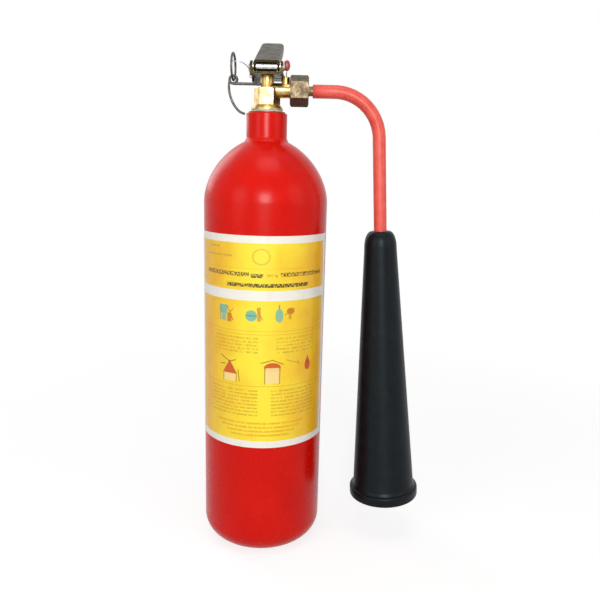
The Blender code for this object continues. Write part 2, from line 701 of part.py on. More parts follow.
def dip_tube():
    """Reaches from its holder down to the foot, with a slanting lower end."""
    top = holder_top() - HOLDER_LENGTH + HOLDER_SOCKET_DEPTH - GAP
    low = FOOT_THICKNESS + DIP_TUBE_FOOT_CLEARANCE
    pipe = ring(DIP_TUBE_BORE_RADIUS, DIP_TUBE_RADIUS, low, top, 16)
    tilt = Matrix.Translation((0, 0, low + DIP_TUBE_RADIUS * math.tan(DIP_TUBE_CUT_ANGLE)))
    tilt = tilt @ Matrix.Rotation(DIP_TUBE_CUT_ANGLE, 4, "Y")
    wide = 6 * DIP_TUBE_RADIUS
    square = [(-wide, -wide), (wide, -wide), (wide, wide), (-wide, wide)]
    mesh = combine(pipe, "DIFFERENCE", prism(square, -wide, 0, tilt))
    add_object("dip_tube", mesh, material("dip tube aluminium", (0.8, 0.8, 0.8), 0.4, 1.0))


# --------------------------------------------------------- lever and handle

def pivot_frame(slope):
    """Places (s, h, x) so that s runs along the sheet and h square to it."""
    along = Vector((0, math.cos(slope), math.sin(slope)))
    square = Vector((0, -math.sin(slope), math.cos(slope)))
    across = along.cross(square)
    place = Matrix((along, square, across)).transposed().to_4x4()
    return Matrix.Translation(PIVOT) @ place


def section_frame(slope):
    """Places (x, h, s): for a cross-section drawn as (x, h)."""
    along = Vector((0, math.cos(slope), math.sin(slope)))
    square = Vector((0, -math.sin(slope), math.cos(slope)))
    place = Matrix((Vector((1, 0, 0)), square, along)).transposed().to_4x4()
    return Matrix.Translation(PIVOT) @ place


def rounded_plan(half_width, start, end, corner):
    """An outline of (s, x) points whose far corners are rounded."""
    outline = [(start, -half_width)]
    outline += arc((end - corner, -half_width + corner), corner, -90, 0, 6)
    outline += arc((end - corner, half_width - corner), corner, 0, 90, 6)
    return outline + [(start, half_width)]


def plan_frame(slope):
    """Places (s, x, h) for a plan outline drawn as (s, x)."""
    along = Vector((0, math.cos(slope), math.sin(slope)))
    square = Vector((0, -math.sin(slope), math.cos(slope)))
    place = Matrix((along, Vector((-1, 0, 0)), square)).transposed().to_4x4()
    return Matrix.Translation(PIVOT) @ place


def lever_section():
    """The lever's cross-section: a web with two flanges hanging from it."""
    top = LEVER_WEB_RISE + SHEET
    low = -LEVER_EYE_RADIUS - OVERCUT
    wide = LEVER_HALF_WIDTH
    bend = BEND_RADIUS
    inner = bend - SHEET
    outline = arc((wide - bend, top - bend), bend, 0, 90, 3)
    outline += arc((-wide + bend, top - bend), bend, 90, 180, 3)
    outline += [(-wide, low), (-wide + SHEET, low)]
    outline += arc((-wide + SHEET + inner, top - SHEET - inner), inner, 180, 90, 2)
    outline += arc((wide - SHEET - inner, top - SHEET - inner), inner, 90, 0, 2)
    return outline + [(wide - SHEET, low), (wide, low)]


def lever_side():
    """The lever seen from the side: an eye at the pivot and a long shallow flange."""
    eye = LEVER_EYE_RADIUS
    top = LEVER_WEB_RISE + SHEET
    flange = top - LEVER_FLANGE
    end = LEVER_LENGTH - eye + OVERCUT
    outline = [(-eye, top + OVERCUT)]
    outline += arc((0, 0), eye, 180, 320, 8)
    outline += [(eye + LEVER_NECK_LENGTH, flange - LEVER_NECK_DIP),
                (eye + LEVER_FLARE_END, flange), (end * 0.8, flange),
                (end, top - SHEET - LEVER_TIP_FLANGE), (end, top + OVERCUT)]
    return outline


def squeeze_lever():
    eye = LEVER_EYE_RADIUS
    reach = LEVER_LENGTH - eye
    frame = section_frame(LEVER_SLOPE)
    channel = prism(lever_section(), -eye - 2 * OVERCUT, reach + 2 * OVERCUT, frame)
    wide = LEVER_HALF_WIDTH + 2 * OVERCUT
    side = prism(lever_side(), -wide, wide, pivot_frame(LEVER_SLOPE))
    plan = prism(rounded_plan(LEVER_HALF_WIDTH + PLAN_MARGIN, -eye - OVERCUT, reach,
                              END_CORNER_RADIUS), -PLAN_DEPTH, PLAN_DEPTH,
                 plan_frame(LEVER_SLOPE))
    bore = rod(PIVOT_PIN_RADIUS + GAP, -wide, wide, 20, Matrix.Translation(PIVOT) @ X_AXIS)
    shaped = combine(channel, "INTERSECT", side, plan)
    mesh = combine(shaped, "DIFFERENCE", bore)
    add_object("squeeze_lever", mesh, plated_steel("lever steel"), 30)


def handle_section():
    """A web with a plate along each edge, standing up as an ear and down as a flange."""
    web_top = -HANDLE_WEB_DROP
    web_low = web_top - SHEET
    wide = HANDLE_HALF_WIDTH
    low = web_low - HANDLE_FLANGE - OVERCUT
    high = HANDLE_EAR_RADIUS + OVERCUT
    inside = wide - SHEET
    return [(wide, low), (wide, high), (inside, high), (inside, web_top),
            (-inside, web_top), (-inside, high), (-wide, high), (-wide, low),
            (-inside, low), (-inside, web_low), (inside, web_low), (inside, low)]


def handle_side():
    """The handle seen from the side: a round ear at the pivot, then a straight channel."""
    ear = HANDLE_EAR_RADIUS
    top = -HANDLE_WEB_DROP - TRIM
    flange = top - SHEET - HANDLE_FLANGE
    end = HANDLE_LENGTH - ear + OVERCUT
    outline = arc((0, 0), ear, 180, 0, 8)
    outline += [(ear, top), (end, top), (end, top - SHEET - HANDLE_TIP_FLANGE),
                (end * 0.9, flange + HANDLE_LIP), (end * 0.8, flange),
                (HANDLE_FLANGE_START + HANDLE_FLANGE * 0.6, flange),
                (HANDLE_FLANGE_START, top - SHEET - HANDLE_LIP),
                (-ear * 0.6, top - SHEET - HANDLE_LIP),
                (-ear, top - SHEET)]
    return outline


def carry_handle():
    ear = HANDLE_EAR_RADIUS
    reach = HANDLE_LENGTH - ear
    channel = prism(handle_section(), -ear - 2 * OVERCUT, reach + 2 * OVERCUT,
                    section_frame(HANDLE_SLOPE))
    wide = HANDLE_HALF_WIDTH + 2 * OVERCUT
    side = prism(handle_side(), -wide, wide, pivot_frame(HANDLE_SLOPE))
    plan = prism(rounded_plan(HANDLE_HALF_WIDTH + PLAN_MARGIN, -ear - OVERCUT, reach,
                              END_CORNER_RADIUS), -PLAN_DEPTH, PLAN_DEPTH,
                 plan_frame(HANDLE_SLOPE))
    bore = rod(PIVOT_PIN_RADIUS + GAP, -wide, wide, 20, Matrix.Translation(PIVOT) @ X_AXIS)
    thread_hole = rod(THREAD_RADIUS + GAP, THREAD_Z - 2 * SHEET, THREAD_TOP, 24)
    seal_holes = rod(SEAL_HOLE_RADIUS, -wide, wide, 10,
                     Matrix.Translation((0, SEAL_Y, seal_line())) @ X_AXIS)
    shaped = combine(channel, "INTERSECT", side, plan)
    mesh = combine(shaped, "DIFFERENCE", bore, thread_hole, seal_holes)
    add_object("carry_handle", mesh, plated_steel("handle steel"), 30)


def pivot_rivet():
    """A stepped rivet: its thick barrel keeps the lever's flanges apart."""
    barrel = LEVER_HALF_WIDTH - SHEET - GAP
    outside = HANDLE_HALF_WIDTH + GAP
    head = outside + PIVOT_HEAD_THICKNESS
    half = [(PIVOT_RADIUS, barrel), (PIVOT_PIN_RADIUS, barrel), (PIVOT_PIN_RADIUS, outside),
            (PIVOT_HEAD_RADIUS, outside), (PIVOT_HEAD_RADIUS * 0.7, head), (0, head)]
    mirrored = [(radius, -x) for radius, x in reversed(half)]
    mesh = turned(mirrored + half, 24, Matrix.Translation(PIVOT) @ X_AXIS)
    add_object("pivot_rivet", mesh, bright_steel("rivet steel"))


def pivot_washers():
    """One thin washer between each flange of the lever and its ear."""
    space = HANDLE_HALF_WIDTH - SHEET - LEVER_HALF_WIDTH
    start = LEVER_HALF_WIDTH + (space - WASHER_THICKNESS) / 2
    for name, turn in (("pivot_washer_right", 1), ("pivot_washer_left", -1)):
        low, high = sorted((start * turn, (start + WASHER_THICKNESS) * turn))
        mesh = ring(PIVOT_PIN_RADIUS + GAP, WASHER_RADIUS, low, high, 16,
                    Matrix.Translation(PIVOT) @ X_AXIS)
        add_object(name, mesh, bright_steel(name + " steel"))


def handle_web_top(y):
    along = y - PIVOT.y
    drop = HANDLE_WEB_DROP / math.cos(HANDLE_SLOPE)
    return PIVOT.z - drop + along * math.tan(HANDLE_SLOPE)


def handle_lock_nut():
    """Clamps the handle on the valve's barrel."""
    low = handle_web_top(LOCK_NUT_WIDTH / 2) + GAP
    bar = hex_bar(LOCK_NUT_WIDTH, low, low + LOCK_NUT_HEIGHT, NUT_CHAMFER)
    bore = rod(THREAD_RADIUS + SLIDE_GAP, low - OVERCUT, low + LOCK_NUT_HEIGHT + OVERCUT, 20)
    add_object("handle_lock_nut", combine(bar, "DIFFERENCE", bore), brass("nut brass"), 30)


# ------------------------------------------------ safety pin, ring and seal

def safety_pin():
    """One bent wire: the rod that locks the valve, an eye, and a springy tail."""
    eye_centre = Vector((PIN_EYE_X, 0, PIN_Z + PIN_EYE_RADIUS))
    x, z = Vector((1, 0, 0)), Vector((0, 0, 1))
    locking = rod(PIN_RADIUS, PIN_EYE_X, PIN_END_X, 12,
                  Matrix.Translation((0, 0, PIN_Z)) @ X_AXIS)
    eye = swept(circle_path(eye_centre, PIN_EYE_RADIUS, x, z, 20), PIN_RADIUS * 0.92, 8, True)
    left = PIN_EYE_X - PIN_EYE_RADIUS
    end_x = -NECK_RADIUS - TAIL_RADIUS - GAP
    route = [(left, 0, eye_centre.z)]
    route += [(left + inward, 0, PIN_Z - down) for inward, down in TAIL_ROUTE]
    route += [(end_x, 0, PIN_Z - TAIL_DROP)]
    tail = swept(smooth_path(route, 4), TAIL_RADIUS, 8)
    mesh = combine(locking, "UNION", eye, tail)
    add_object("safety_pin", mesh, bright_steel("pin steel"))


def ring_low_point():
    return Vector((PIN_EYE_X, 0, PIN_Z + PIN_EYE_RADIUS - RING_REST))


def pull_ring():
    """Stands up in the eye of the pin, where the seal wire holds it."""
    centre = ring_low_point() + Vector((0, 0, RING_RADIUS))
    across = Vector((-math.sin(RING_TURN), math.cos(RING_TURN), 0))
    path = circle_path(centre, RING_RADIUS, across, Vector((0, 0, 1)), 32)
    add_object("pull_ring", swept(path, RING_WIRE, 8, True), bright_steel("ring steel"))


def seal_line():
    """Height at which the seal wire crosses under the handle's web."""
    return handle_web_top(SEAL_Y) - SHEET - SEAL_DROP


def seal_wire():
    """A thin wire from inside the pull ring, through the handle, to the tag."""
    low = seal_line()
    side = HANDLE_HALF_WIDTH
    ring_height = ring_low_point().z + RING_RADIUS + SEAL_RISE
    tag_low = COLLAR_Z + TAG_RISE - TAG_SIZE.z / 2
    route = [(PIN_EYE_X - SEAL_REACH, 0, ring_height),
             (PIN_EYE_X + SEAL_REACH, 0, ring_height),
             (-0.0225, 0.0010, ring_height - 0.0010), (-side - 0.0035, 0.0040, low + 0.0085),
             (-side - 0.0018, 0.0080, low + 0.0035), (-side - 0.0008, SEAL_Y, low),
             (0, SEAL_Y, low), (side + 0.0006, SEAL_Y, low),
             (side + 0.0022, 0.0070, low + 0.0012), (TAG_CENTRE_X, TAG_CENTRE_Y, tag_low - GAP)]
    mesh = swept(smooth_path(route, 4), SEAL_WIRE_RADIUS, 6)
    add_object("seal_wire", mesh, bright_steel("seal wire steel"))


def seal_tag():
    """An oval pellet crimped on the end of the seal wire."""
    bm = bmesh.new()
    bmesh.ops.create_uvsphere(bm, u_segments=16, v_segments=10, radius=0.5)
    bmesh.ops.scale(bm, vec=TAG_SIZE, verts=bm.verts)
    bmesh.ops.translate(bm, vec=(TAG_CENTRE_X, TAG_CENTRE_Y, COLLAR_Z + TAG_RISE),
                        verts=bm.verts)
    add_object("seal_tag", mesh_from(bm), material("tag plastic", (0.30, 0.03, 0.02), 0.45))


# ----------------------------------------------------- union, tube and horn

def union_nut():
    place = Matrix.Translation((0, 0, OUTLET_Z)) @ X_AXIS
    bar = hex_bar(UNION_WIDTH, UNION_X, UNION_END, UNION_CHAMFER, 0, place)
    thread = rod(OUTLET_THREAD_RADIUS + THREAD_GAP, UNION_X - OVERCUT,
                 UNION_END - UNION_END_WALL, 24, place)
    hole = rod(NIPPLE_RADIUS + GAP, UNION_END - UNION_END_WALL - OVERCUT,
               UNION_END + OVERCUT, 20, place)
    mesh = combine(bar, "DIFFERENCE", thread, hole)
    add_object("union_nut", mesh, material("union nickel", (0.55, 0.44, 0.33), 0.3, 1.0), 30)


def outlet_gasket():
    mesh = ring(OUTLET_BORE_RADIUS, NIPPLE_FLANGE_RADIUS, GASKET_X,
                GASKET_X + GASKET_THICKNESS, 20, Matrix.Translation((0, 0, OUTLET_Z)) @ X_AXIS)
    add_object("outlet_gasket", mesh, material("gasket fibre", (0.35, 0.12, 0.08), 0.8))


def swivel_nipple():
    """Its flange is held in the union nut and its tail is brazed into the tube."""
    flange_end = UNION_END - UNION_END_WALL - GAP
    start = flange_end - NIPPLE_FLANGE_THICKNESS
    tail_radius = TUBE_BORE_RADIUS - GAP
    end = TUBE_START + NIPPLE_TAIL
    outline = [(NIPPLE_BORE_RADIUS, start), (NIPPLE_FLANGE_RADIUS, start),
               (NIPPLE_FLANGE_RADIUS, flange_end), (NIPPLE_RADIUS, flange_end),
               (NIPPLE_RADIUS, TUBE_START - GAP), (tail_radius, TUBE_START - GAP),
               (tail_radius, end), (NIPPLE_BORE_RADIUS, end)]
    mesh = turned(outline, 20, Matrix.Translation((0, 0, OUTLET_Z)) @ X_AXIS)
    add_object("swivel_nipple", mesh, bright_steel("nipple steel"))


def drop_direction():
    return Vector((math.sin(TUBE_LEAN), 0, -math.cos(TUBE_LEAN)))


def bend_end():
    turn = math.pi / 2 - TUBE_LEAN
    return Vector((TUBE_BEND_START + TUBE_BEND_RADIUS * math.sin(turn), 0,
                   OUTLET_Z - TUBE_BEND_RADIUS * (1 - math.cos(turn))))


def horn_top():
    return bend_end() + drop_direction() * TUBE_DROP


def tube_path():
    """The tube's centreline: out along +X, round the bend and down to the horn."""
    turn = math.pi / 2 - TUBE_LEAN
    path = [Vector((TUBE_START, 0, OUTLET_Z))]
    steps = 10
    for step in range(steps + 1):
        angle = turn * step / steps
        path.append(Vector((TUBE_BEND_START + TUBE_BEND_RADIUS * math.sin(angle), 0,
                            OUTLET_Z - TUBE_BEND_RADIUS * (1 - math.cos(angle)))))
    path.append(horn_top() + drop_direction() * TUBE_IN_HORN)
    return path


def discharge_tube():
    """A bent pipe: an outer and an inner skin joined at both ends."""
    outer, inner = bmesh.new(), bmesh.new()
    outer.from_mesh(swept(tube_path(), TUBE_RADIUS, 16))
    inner.from_mesh(swept(tube_path(), TUBE_BORE_RADIUS, 16))
    joined = bpy.data.meshes.new("pipe")
    for skin in (outer, inner):
        caps = [face for face in skin.faces if len(face.verts) > 4]
        bmesh.ops.delete(skin, geom=caps, context="FACES_ONLY")
    bmesh.ops.reverse_faces(inner, faces=inner.faces)
    inner.to_mesh(joined)
    inner.free()
    outer.from_mesh(joined)
    rims = [edge for edge in outer.edges if edge.is_boundary]
    ends = {}
    for edge in rims:
        middle = (edge.verts[0].co + edge.verts[1].co) / 2
        near = "start" if (middle - tube_path()[0]).length < 2 * TUBE_RADIUS else "end"
        ends.setdefault(near, []).append(edge)
    for edges in ends.values():
        bmesh.ops.bridge_loops(outer, edges=edges)
    add_object("discharge_tube", mesh_from(outer), red_paint("tube paint"))


def horn_frame():
    """Places (radius, depth) outlines so that depth runs down the horn's axis."""
    axis = drop_direction()
    side = Vector((math.cos(TUBE_LEAN), 0, math.sin(TUBE_LEAN)))
    place = Matrix((side, axis.cross(side), axis)).transposed().to_4x4()
    return Matrix.Translation(horn_top()) @ place


def horn():
    """A long cone with a domed top, open at its rolled mouth."""
    hole = TUBE_RADIUS + GAP
    dome = HORN_DOME_LENGTH
    rim = HORN_LENGTH - HORN_RIM_HEIGHT
    slope = (HORN_MOUTH_RADIUS - HORN_TOP_RADIUS) / (HORN_LENGTH - dome)
    at_rim = HORN_TOP_RADIUS + slope * (rim - dome)
    edge = HORN_RIM_EDGE
    outer = [(hole, 0), *HORN_DOME, (HORN_TOP_RADIUS, dome),
             (at_rim - edge / 4, rim - 2.5 * edge), (at_rim + 0.75 * edge, rim - edge / 2),
             (HORN_RIM_RADIUS - 0.4 * edge, rim + 0.4 * edge),
             (HORN_RIM_RADIUS, rim + 1.4 * edge), (HORN_RIM_RADIUS, HORN_LENGTH - edge),
             (HORN_RIM_RADIUS - edge, HORN_LENGTH)]
    inner = [(HORN_MOUTH_RADIUS, HORN_LENGTH),
             (HORN_MOUTH_RADIUS - HORN_WALL, HORN_LENGTH - HORN_LIP_DEPTH),
             (HORN_TOP_RADIUS - HORN_WALL, dome), *HORN_DOME_INSIDE, (hole, HORN_DOME_WALL)]
    add_object("horn", turned(outer + inner, 36, horn_frame()),
               material("horn plastic", (0.016, 0.018, 0.020), 0.45))


def horn_lock_nut():
    """Screwed on the tube's end inside the horn, under the dome."""
    low = HORN_NUT_DEPTH
    corner = HORN_NUT_WIDTH / math.sqrt(3)
    bar = hex_bar(HORN_NUT_WIDTH, low, low + HORN_NUT_HEIGHT, HORN_NUT_CHAMFER, 0,
                  horn_frame())
    bore = rod(TUBE_RADIUS + SLIDE_GAP, low - OVERCUT, low + corner, 20, horn_frame())
    cone = [(HORN_NUT_CONE_RADIUS, low - OVERCUT), (corner + OVERCUT, low - OVERCUT),
            (corner + OVERCUT, low + HORN_NUT_CONE_DEPTH)]
    trim = turned(cone, 24, horn_frame())
    mesh = combine(bar, "DIFFERENCE", bore, trim)
    add_object("horn_lock_nut", mesh, bright_steel("lock nut steel"), 30)


def horn_jet():
    """The nozzle on the tube's end, inside the horn."""
    shoulder = TUBE_IN_HORN + GAP
    tail = TUBE_BORE_RADIUS - GAP
    start = TUBE_IN_HORN - JET_TAIL
    mesh = turned([(JET_BORE_RADIUS, start), (tail, start), (tail, shoulder),
                   (JET_RADIUS, shoulder), (JET_RADIUS, shoulder + JET_LENGTH * 0.7),
                   (JET_RADIUS * 0.6, shoulder + JET_LENGTH),
                   (JET_BORE_RADIUS, shoulder + JET_LENGTH)], 20, horn_frame())
    add_object("horn_jet", mesh, brass("jet brass"))


# -------------------------------------------------------------------- build

def clear_scene():
    for placed in list(bpy.data.objects):
        bpy.data.objects.remove(placed)


def hang_from(empty_name, place, names):
    """Parents pieces that move together to an empty on their joint's axis."""
    empty = bpy.data.objects.new(empty_name, None)
    empty.location = place
    bpy.context.scene.collection.objects.link(empty)
    bpy.context.view_layer.update()
    for name in names:
        piece = bpy.data.objects[name]
        piece.parent = empty
        piece.matrix_parent_inverse = Matrix.Translation(place).inverted()


def build():
    clear_scene()
    pieces = (cylinder_shell, label_wrap, retainer_ring, neck_seal, valve_body, burst_disc,
              burst_disc_plug, stem_oring, stem_bush, push_rod, valve_poppet, seat_disc,
              valve_spring, dip_tube_holder, dip_tube, squeeze_lever, carry_handle,
              pivot_rivet, pivot_washers, handle_lock_nut, safety_pin, pull_ring, seal_wire,
              seal_tag, union_nut, outlet_gasket, swivel_nipple, discharge_tube, horn,
              horn_lock_nut, horn_jet)
    for make in pieces:
        make()
    hang_from("lever_joint", PIVOT, ["squeeze_lever"])
    hang_from("rod_joint", Vector((0, 0, SEAT_Z)), ["push_rod", "valve_poppet", "seat_disc"])
    hang_from("pin_joint", Vector((0, 0, PIN_Z)), ["safety_pin"])
    hang_from("ring_joint", ring_low_point(), ["pull_ring"])
    hang_from("swivel_joint", Vector((UNION_END, 0, OUTLET_Z)),
              ["swivel_nipple", "discharge_tube", "horn", "horn_lock_nut", "horn_jet"])


build()
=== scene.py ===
"""Looks for a portable CO2 fire extinguisher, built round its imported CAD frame."""

import math

import bmesh
import bpy
import numpy as np
from mathutils import Matrix, Vector

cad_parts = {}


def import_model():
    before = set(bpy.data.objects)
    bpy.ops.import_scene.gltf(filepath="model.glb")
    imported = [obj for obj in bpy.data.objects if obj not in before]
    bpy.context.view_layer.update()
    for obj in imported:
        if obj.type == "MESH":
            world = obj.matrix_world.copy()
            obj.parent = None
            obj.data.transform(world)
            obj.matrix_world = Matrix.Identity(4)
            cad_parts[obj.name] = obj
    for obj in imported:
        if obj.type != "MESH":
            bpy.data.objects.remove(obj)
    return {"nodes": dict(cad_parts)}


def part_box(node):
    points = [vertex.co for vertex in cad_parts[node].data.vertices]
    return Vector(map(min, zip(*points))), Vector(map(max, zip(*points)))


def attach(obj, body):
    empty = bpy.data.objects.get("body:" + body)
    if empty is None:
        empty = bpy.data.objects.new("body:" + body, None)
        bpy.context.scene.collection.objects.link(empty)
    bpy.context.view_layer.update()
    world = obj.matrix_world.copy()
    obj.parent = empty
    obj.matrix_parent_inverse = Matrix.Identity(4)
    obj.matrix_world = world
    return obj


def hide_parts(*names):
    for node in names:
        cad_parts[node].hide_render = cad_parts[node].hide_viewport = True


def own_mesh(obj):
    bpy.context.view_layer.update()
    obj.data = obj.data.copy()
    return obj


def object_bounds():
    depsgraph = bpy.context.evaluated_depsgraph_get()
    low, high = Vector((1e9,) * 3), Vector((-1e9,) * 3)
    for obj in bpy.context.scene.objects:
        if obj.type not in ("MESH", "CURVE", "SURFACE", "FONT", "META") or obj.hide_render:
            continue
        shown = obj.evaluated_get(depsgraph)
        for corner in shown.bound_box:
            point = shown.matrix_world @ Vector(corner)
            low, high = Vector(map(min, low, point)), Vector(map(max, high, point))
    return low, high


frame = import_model()
CAD_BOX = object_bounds()

# Camera
LENS = 38.78
SENSOR = 36.0
CLIP_START = 0.01
CAMERA_PLACE = Vector((0.034, -0.6077, 0.3635))
CAMERA_PITCH = math.radians(11.655)
CAMERA_ROLL = math.radians(1.366)

# Shapes, in metres; the heights and centres are read from the frame
FOOT_CORNER = 0.021
SHOULDER_RISE = 0.059
SHOULDER_START = 0.331
SHOULDER_POWER = 1.8
NECK_RADIUS = 0.0185
NECK_FILLET = 0.004
NECK_ROUND = NECK_FILLET * 0.9  # radius where the shoulder turns up into the neck
NECK_LIP = 0.0012  # round on the neck's upper edge
NECK_BORE = 0.0126
SHELL_WALL = 0.004
FOOT_EXTRA = 0.002  # the foot is that much thicker than the wall
TUBE_RADIUS = 0.0060
TUBE_END_EASE = 0.0004
TUBE_IN_HORN = 0.0140
BEND_RADIUS = 0.0420
BEND_STEPS = 48
HORN_TOP_RADIUS = 0.0153
HORN_DOME = 0.0170
HORN_WALL = 0.0022
HORN_MOUTH = 0.0309
HORN_RIM = 0.0339
HORN_RIM_HEIGHT = 0.0095
HORN_HOLE_GAP = 0.0003
HORN_HOLE_LIP = 0.0012
HORN_DOME_STEPS = 14
LABEL_ANGLE = math.radians(75)
LABEL_SHEET = 0.0004
LABEL_GAP = 0.0003
LABEL_COLUMNS, LABEL_ROWS = 120, 4
SPRING_WIRE = 0.00055
SPRING_TURNS = 5
SPRING_STEPS = 32  # points in one turn
SPRING_DEAD = 0.1  # share of the coil that lies closed at each end
SOFT_EDGE = 0.00018  # bevel on the edges of machined and pressed pieces
EASE_ANGLE = math.radians(38)
WELD_MESH, WELD_NODE = 1e-7, 1e-6

# Surfaces
NOISE_SPAN = (0.3, 0.7)  # where most of a noise lies
CLOUD_SPAN = (0.35, 0.65)
METAL_PITS = 0.00001  # depth of a metal's grain

# Stage
FLOOR_SPAN = 6.0
FLOOR_GREY = 0.40
FLOOR_GLOW = 0.72
GLOW_FADE = (0.30, 0.75)  # the floor goes plain white between these distances
FILL_LIGHT = 0.24


# ---------------------------------------------------------------- node helpers

class Nodes:
    """A material's node tree, with short ways to add the usual nodes."""

    def __init__(self, name):
        self.made = bpy.data.materials.new(name)
        self.made.use_nodes = True
        self.tree = self.made.node_tree
        self.shader = self.tree.nodes["Principled BSDF"]
        place = self.tree.nodes.new("ShaderNodeTexCoord")
        self.place = place.outputs["Object"]

    def add(self, kind, **values):
        node = self.tree.nodes.new(kind)
        for key, value in values.items():
            setattr(node, key, value)
        return node

    def link(self, source, target):
        self.tree.links.new(source, target)

    def feed(self, socket, value):
        if isinstance(value, bpy.types.NodeSocket):
            self.link(value, socket)
        else:
            socket.default_value = value

    def maths(self, operation, first, second=None, clamp=False):
        node = self.add("ShaderNodeMath", operation=operation, use_clamp=clamp)
        self.feed(node.inputs[0], first)
        if second is not None:
            self.feed(node.inputs[1], second)
        return node.outputs[0]

    def noise(self, size, detail=3.0, rough=0.5, stretch=(1, 1, 1), place=None):
        """Noise whose lumps are about size metres across."""
        mapped = self.add("ShaderNodeMapping")
        mapped.inputs["Scale"].default_value = [axis / size for axis in stretch]
        self.link(place or self.place, mapped.inputs["Vector"])
        node = self.add("ShaderNodeTexNoise")
        node.inputs["Scale"].default_value = 1.0
        node.inputs["Detail"].default_value = detail
        node.inputs["Roughness"].default_value = rough
        self.link(mapped.outputs["Vector"], node.inputs["Vector"])
        return node.outputs["Fac"]

    def spread(self, value, low, high, to_low=0.0, to_high=1.0):
        node = self.add("ShaderNodeMapRange")
        node.inputs["From Min"].default_value = low
        node.inputs["From Max"].default_value = high
        node.inputs["To Min"].default_value = to_low
        node.inputs["To Max"].default_value = to_high
        self.link(value, node.inputs["Value"])
        return node.outputs["Result"]

    def between(self, low, high, size, detail=3.0):
        """A value that wanders from low to high, in lumps of that size."""
        return self.spread(self.noise(size, detail), *NOISE_SPAN, low, high)

    def mix(self, factor, first, second):
        node = self.add("ShaderNodeMix", data_type="RGBA")
        self.feed(node.inputs[0], factor)
        self.feed(node.inputs[6], first if not isinstance(first, tuple) else (*first, 1.0))
        self.feed(node.inputs[7], second if not isinstance(second, tuple) else (*second, 1.0))
        return node.outputs[2]

    def bump(self, height, depth, strength=1.0, after=None):
        node = self.add("ShaderNodeBump")
        node.inputs["Strength"].default_value = strength
        node.inputs["Distance"].default_value = depth
        self.link(height, node.inputs["Height"])
        if after is not None:
            self.link(after, node.inputs["Normal"])
        return node.outputs["Normal"]

    def edges(self, width):
        """1 on edges and corners, 0 on open faces."""
        bevel = self.add("ShaderNodeBevel", samples=4)
        bevel.inputs["Radius"].default_value = width
        normal = self.add("ShaderNodeNewGeometry").outputs["Normal"]
        turn = self.add("ShaderNodeVectorMath", operation="DOT_PRODUCT")
        self.link(bevel.outputs["Normal"], turn.inputs[0])
        self.link(normal, turn.inputs[1])
        return self.spread(turn.outputs["Value"], 0.98, 0.75)

    def finish(self, colour, roughness, metallic, normal, **sockets):
        self.link(colour, self.shader.inputs["Base Color"])
        self.link(roughness, self.shader.inputs["Roughness"])
        self.shader.inputs["Metallic"].default_value = metallic
        self.link(normal, self.shader.inputs["Normal"])
        for name, value in sockets.items():
            self.shader.inputs[name.replace("_", " ")].default_value = value
        return self.made


# ------------------------------------------------------------------- materials

def red_paint():
    """Glossy enamel with a faint orange peel, a little dust and fine rubs."""
    n = Nodes("red enamel")
    cloud = n.noise(0.035, 3)
    rubs = n.noise(0.0016, 5, 0.7, (1, 1, 0.12))
    rub_zone = n.noise(0.05, 2)
    rub_mask = n.maths("MULTIPLY", n.spread(rubs, 0.60, 0.72), n.spread(rub_zone, 0.52, 0.66),
                       True)
    colour = n.mix(n.spread(cloud, *CLOUD_SPAN), (0.62, 0.0040, 0.0008),
                   (0.68, 0.0060, 0.0012))
    colour = n.mix(n.maths("MULTIPLY", rub_mask, 0.22), colour, (0.50, 0.05, 0.04))
    height = n.add("ShaderNodeSeparateXYZ")
    n.link(n.place, height.inputs[0])
    low_down = n.spread(height.outputs["Z"], 0.075, 0.020)
    slant = n.add("ShaderNodeMapping")
    slant.inputs["Rotation"].default_value = (0, math.radians(28), 0)
    n.link(n.place, slant.inputs["Vector"])
    hairs = n.noise(0.0012, 4, 0.6, (0.05, 1, 1), slant.outputs["Vector"])
    scratch = n.maths("MULTIPLY", n.spread(hairs, 0.655, 0.69), low_down, True)
    colour = n.mix(n.maths("MULTIPLY", scratch, 0.45), colour, (0.62, 0.16, 0.13))
    specks = n.spread(n.noise(0.0030, 3, 0.6), 0.735, 0.77)
    colour = n.mix(n.maths("MULTIPLY", specks, 0.10), colour, (0.72, 0.30, 0.26))
    roughness = n.between(0.24, 0.28, 0.004, 4)
    roughness = n.maths("ADD", roughness, n.maths("MULTIPLY", rub_mask, 0.12))
    peel = n.bump(n.noise(0.0030, 2), 0.00005, 0.10)
    fine = n.bump(n.noise(0.0006, 2), 0.00001, 0.10, peel)
    return n.finish(colour, roughness, 0.0, fine, Specular_IOR_Level=0.15)


def tube_coating():
    """Salmon-red coating on the tube: matt, with cloudy patches of a darker red."""
    n = Nodes("red sleeve")
    cloud = n.noise(0.008, 4)
    grain = n.noise(0.0007, 3, 0.6)
    colour = n.mix(n.spread(cloud, *CLOUD_SPAN), (0.72, 0.070, 0.045), (0.80, 0.110, 0.075))
    colour = n.mix(n.spread(n.noise(0.0040, 5, 0.7), 0.60, 0.78, 0.0, 0.35), colour,
                   (0.55, 0.045, 0.030))
    roughness = n.between(0.36, 0.48, 0.002, 4)
    return n.finish(colour, roughness, 0.0, n.bump(grain, 0.00004, 0.4))


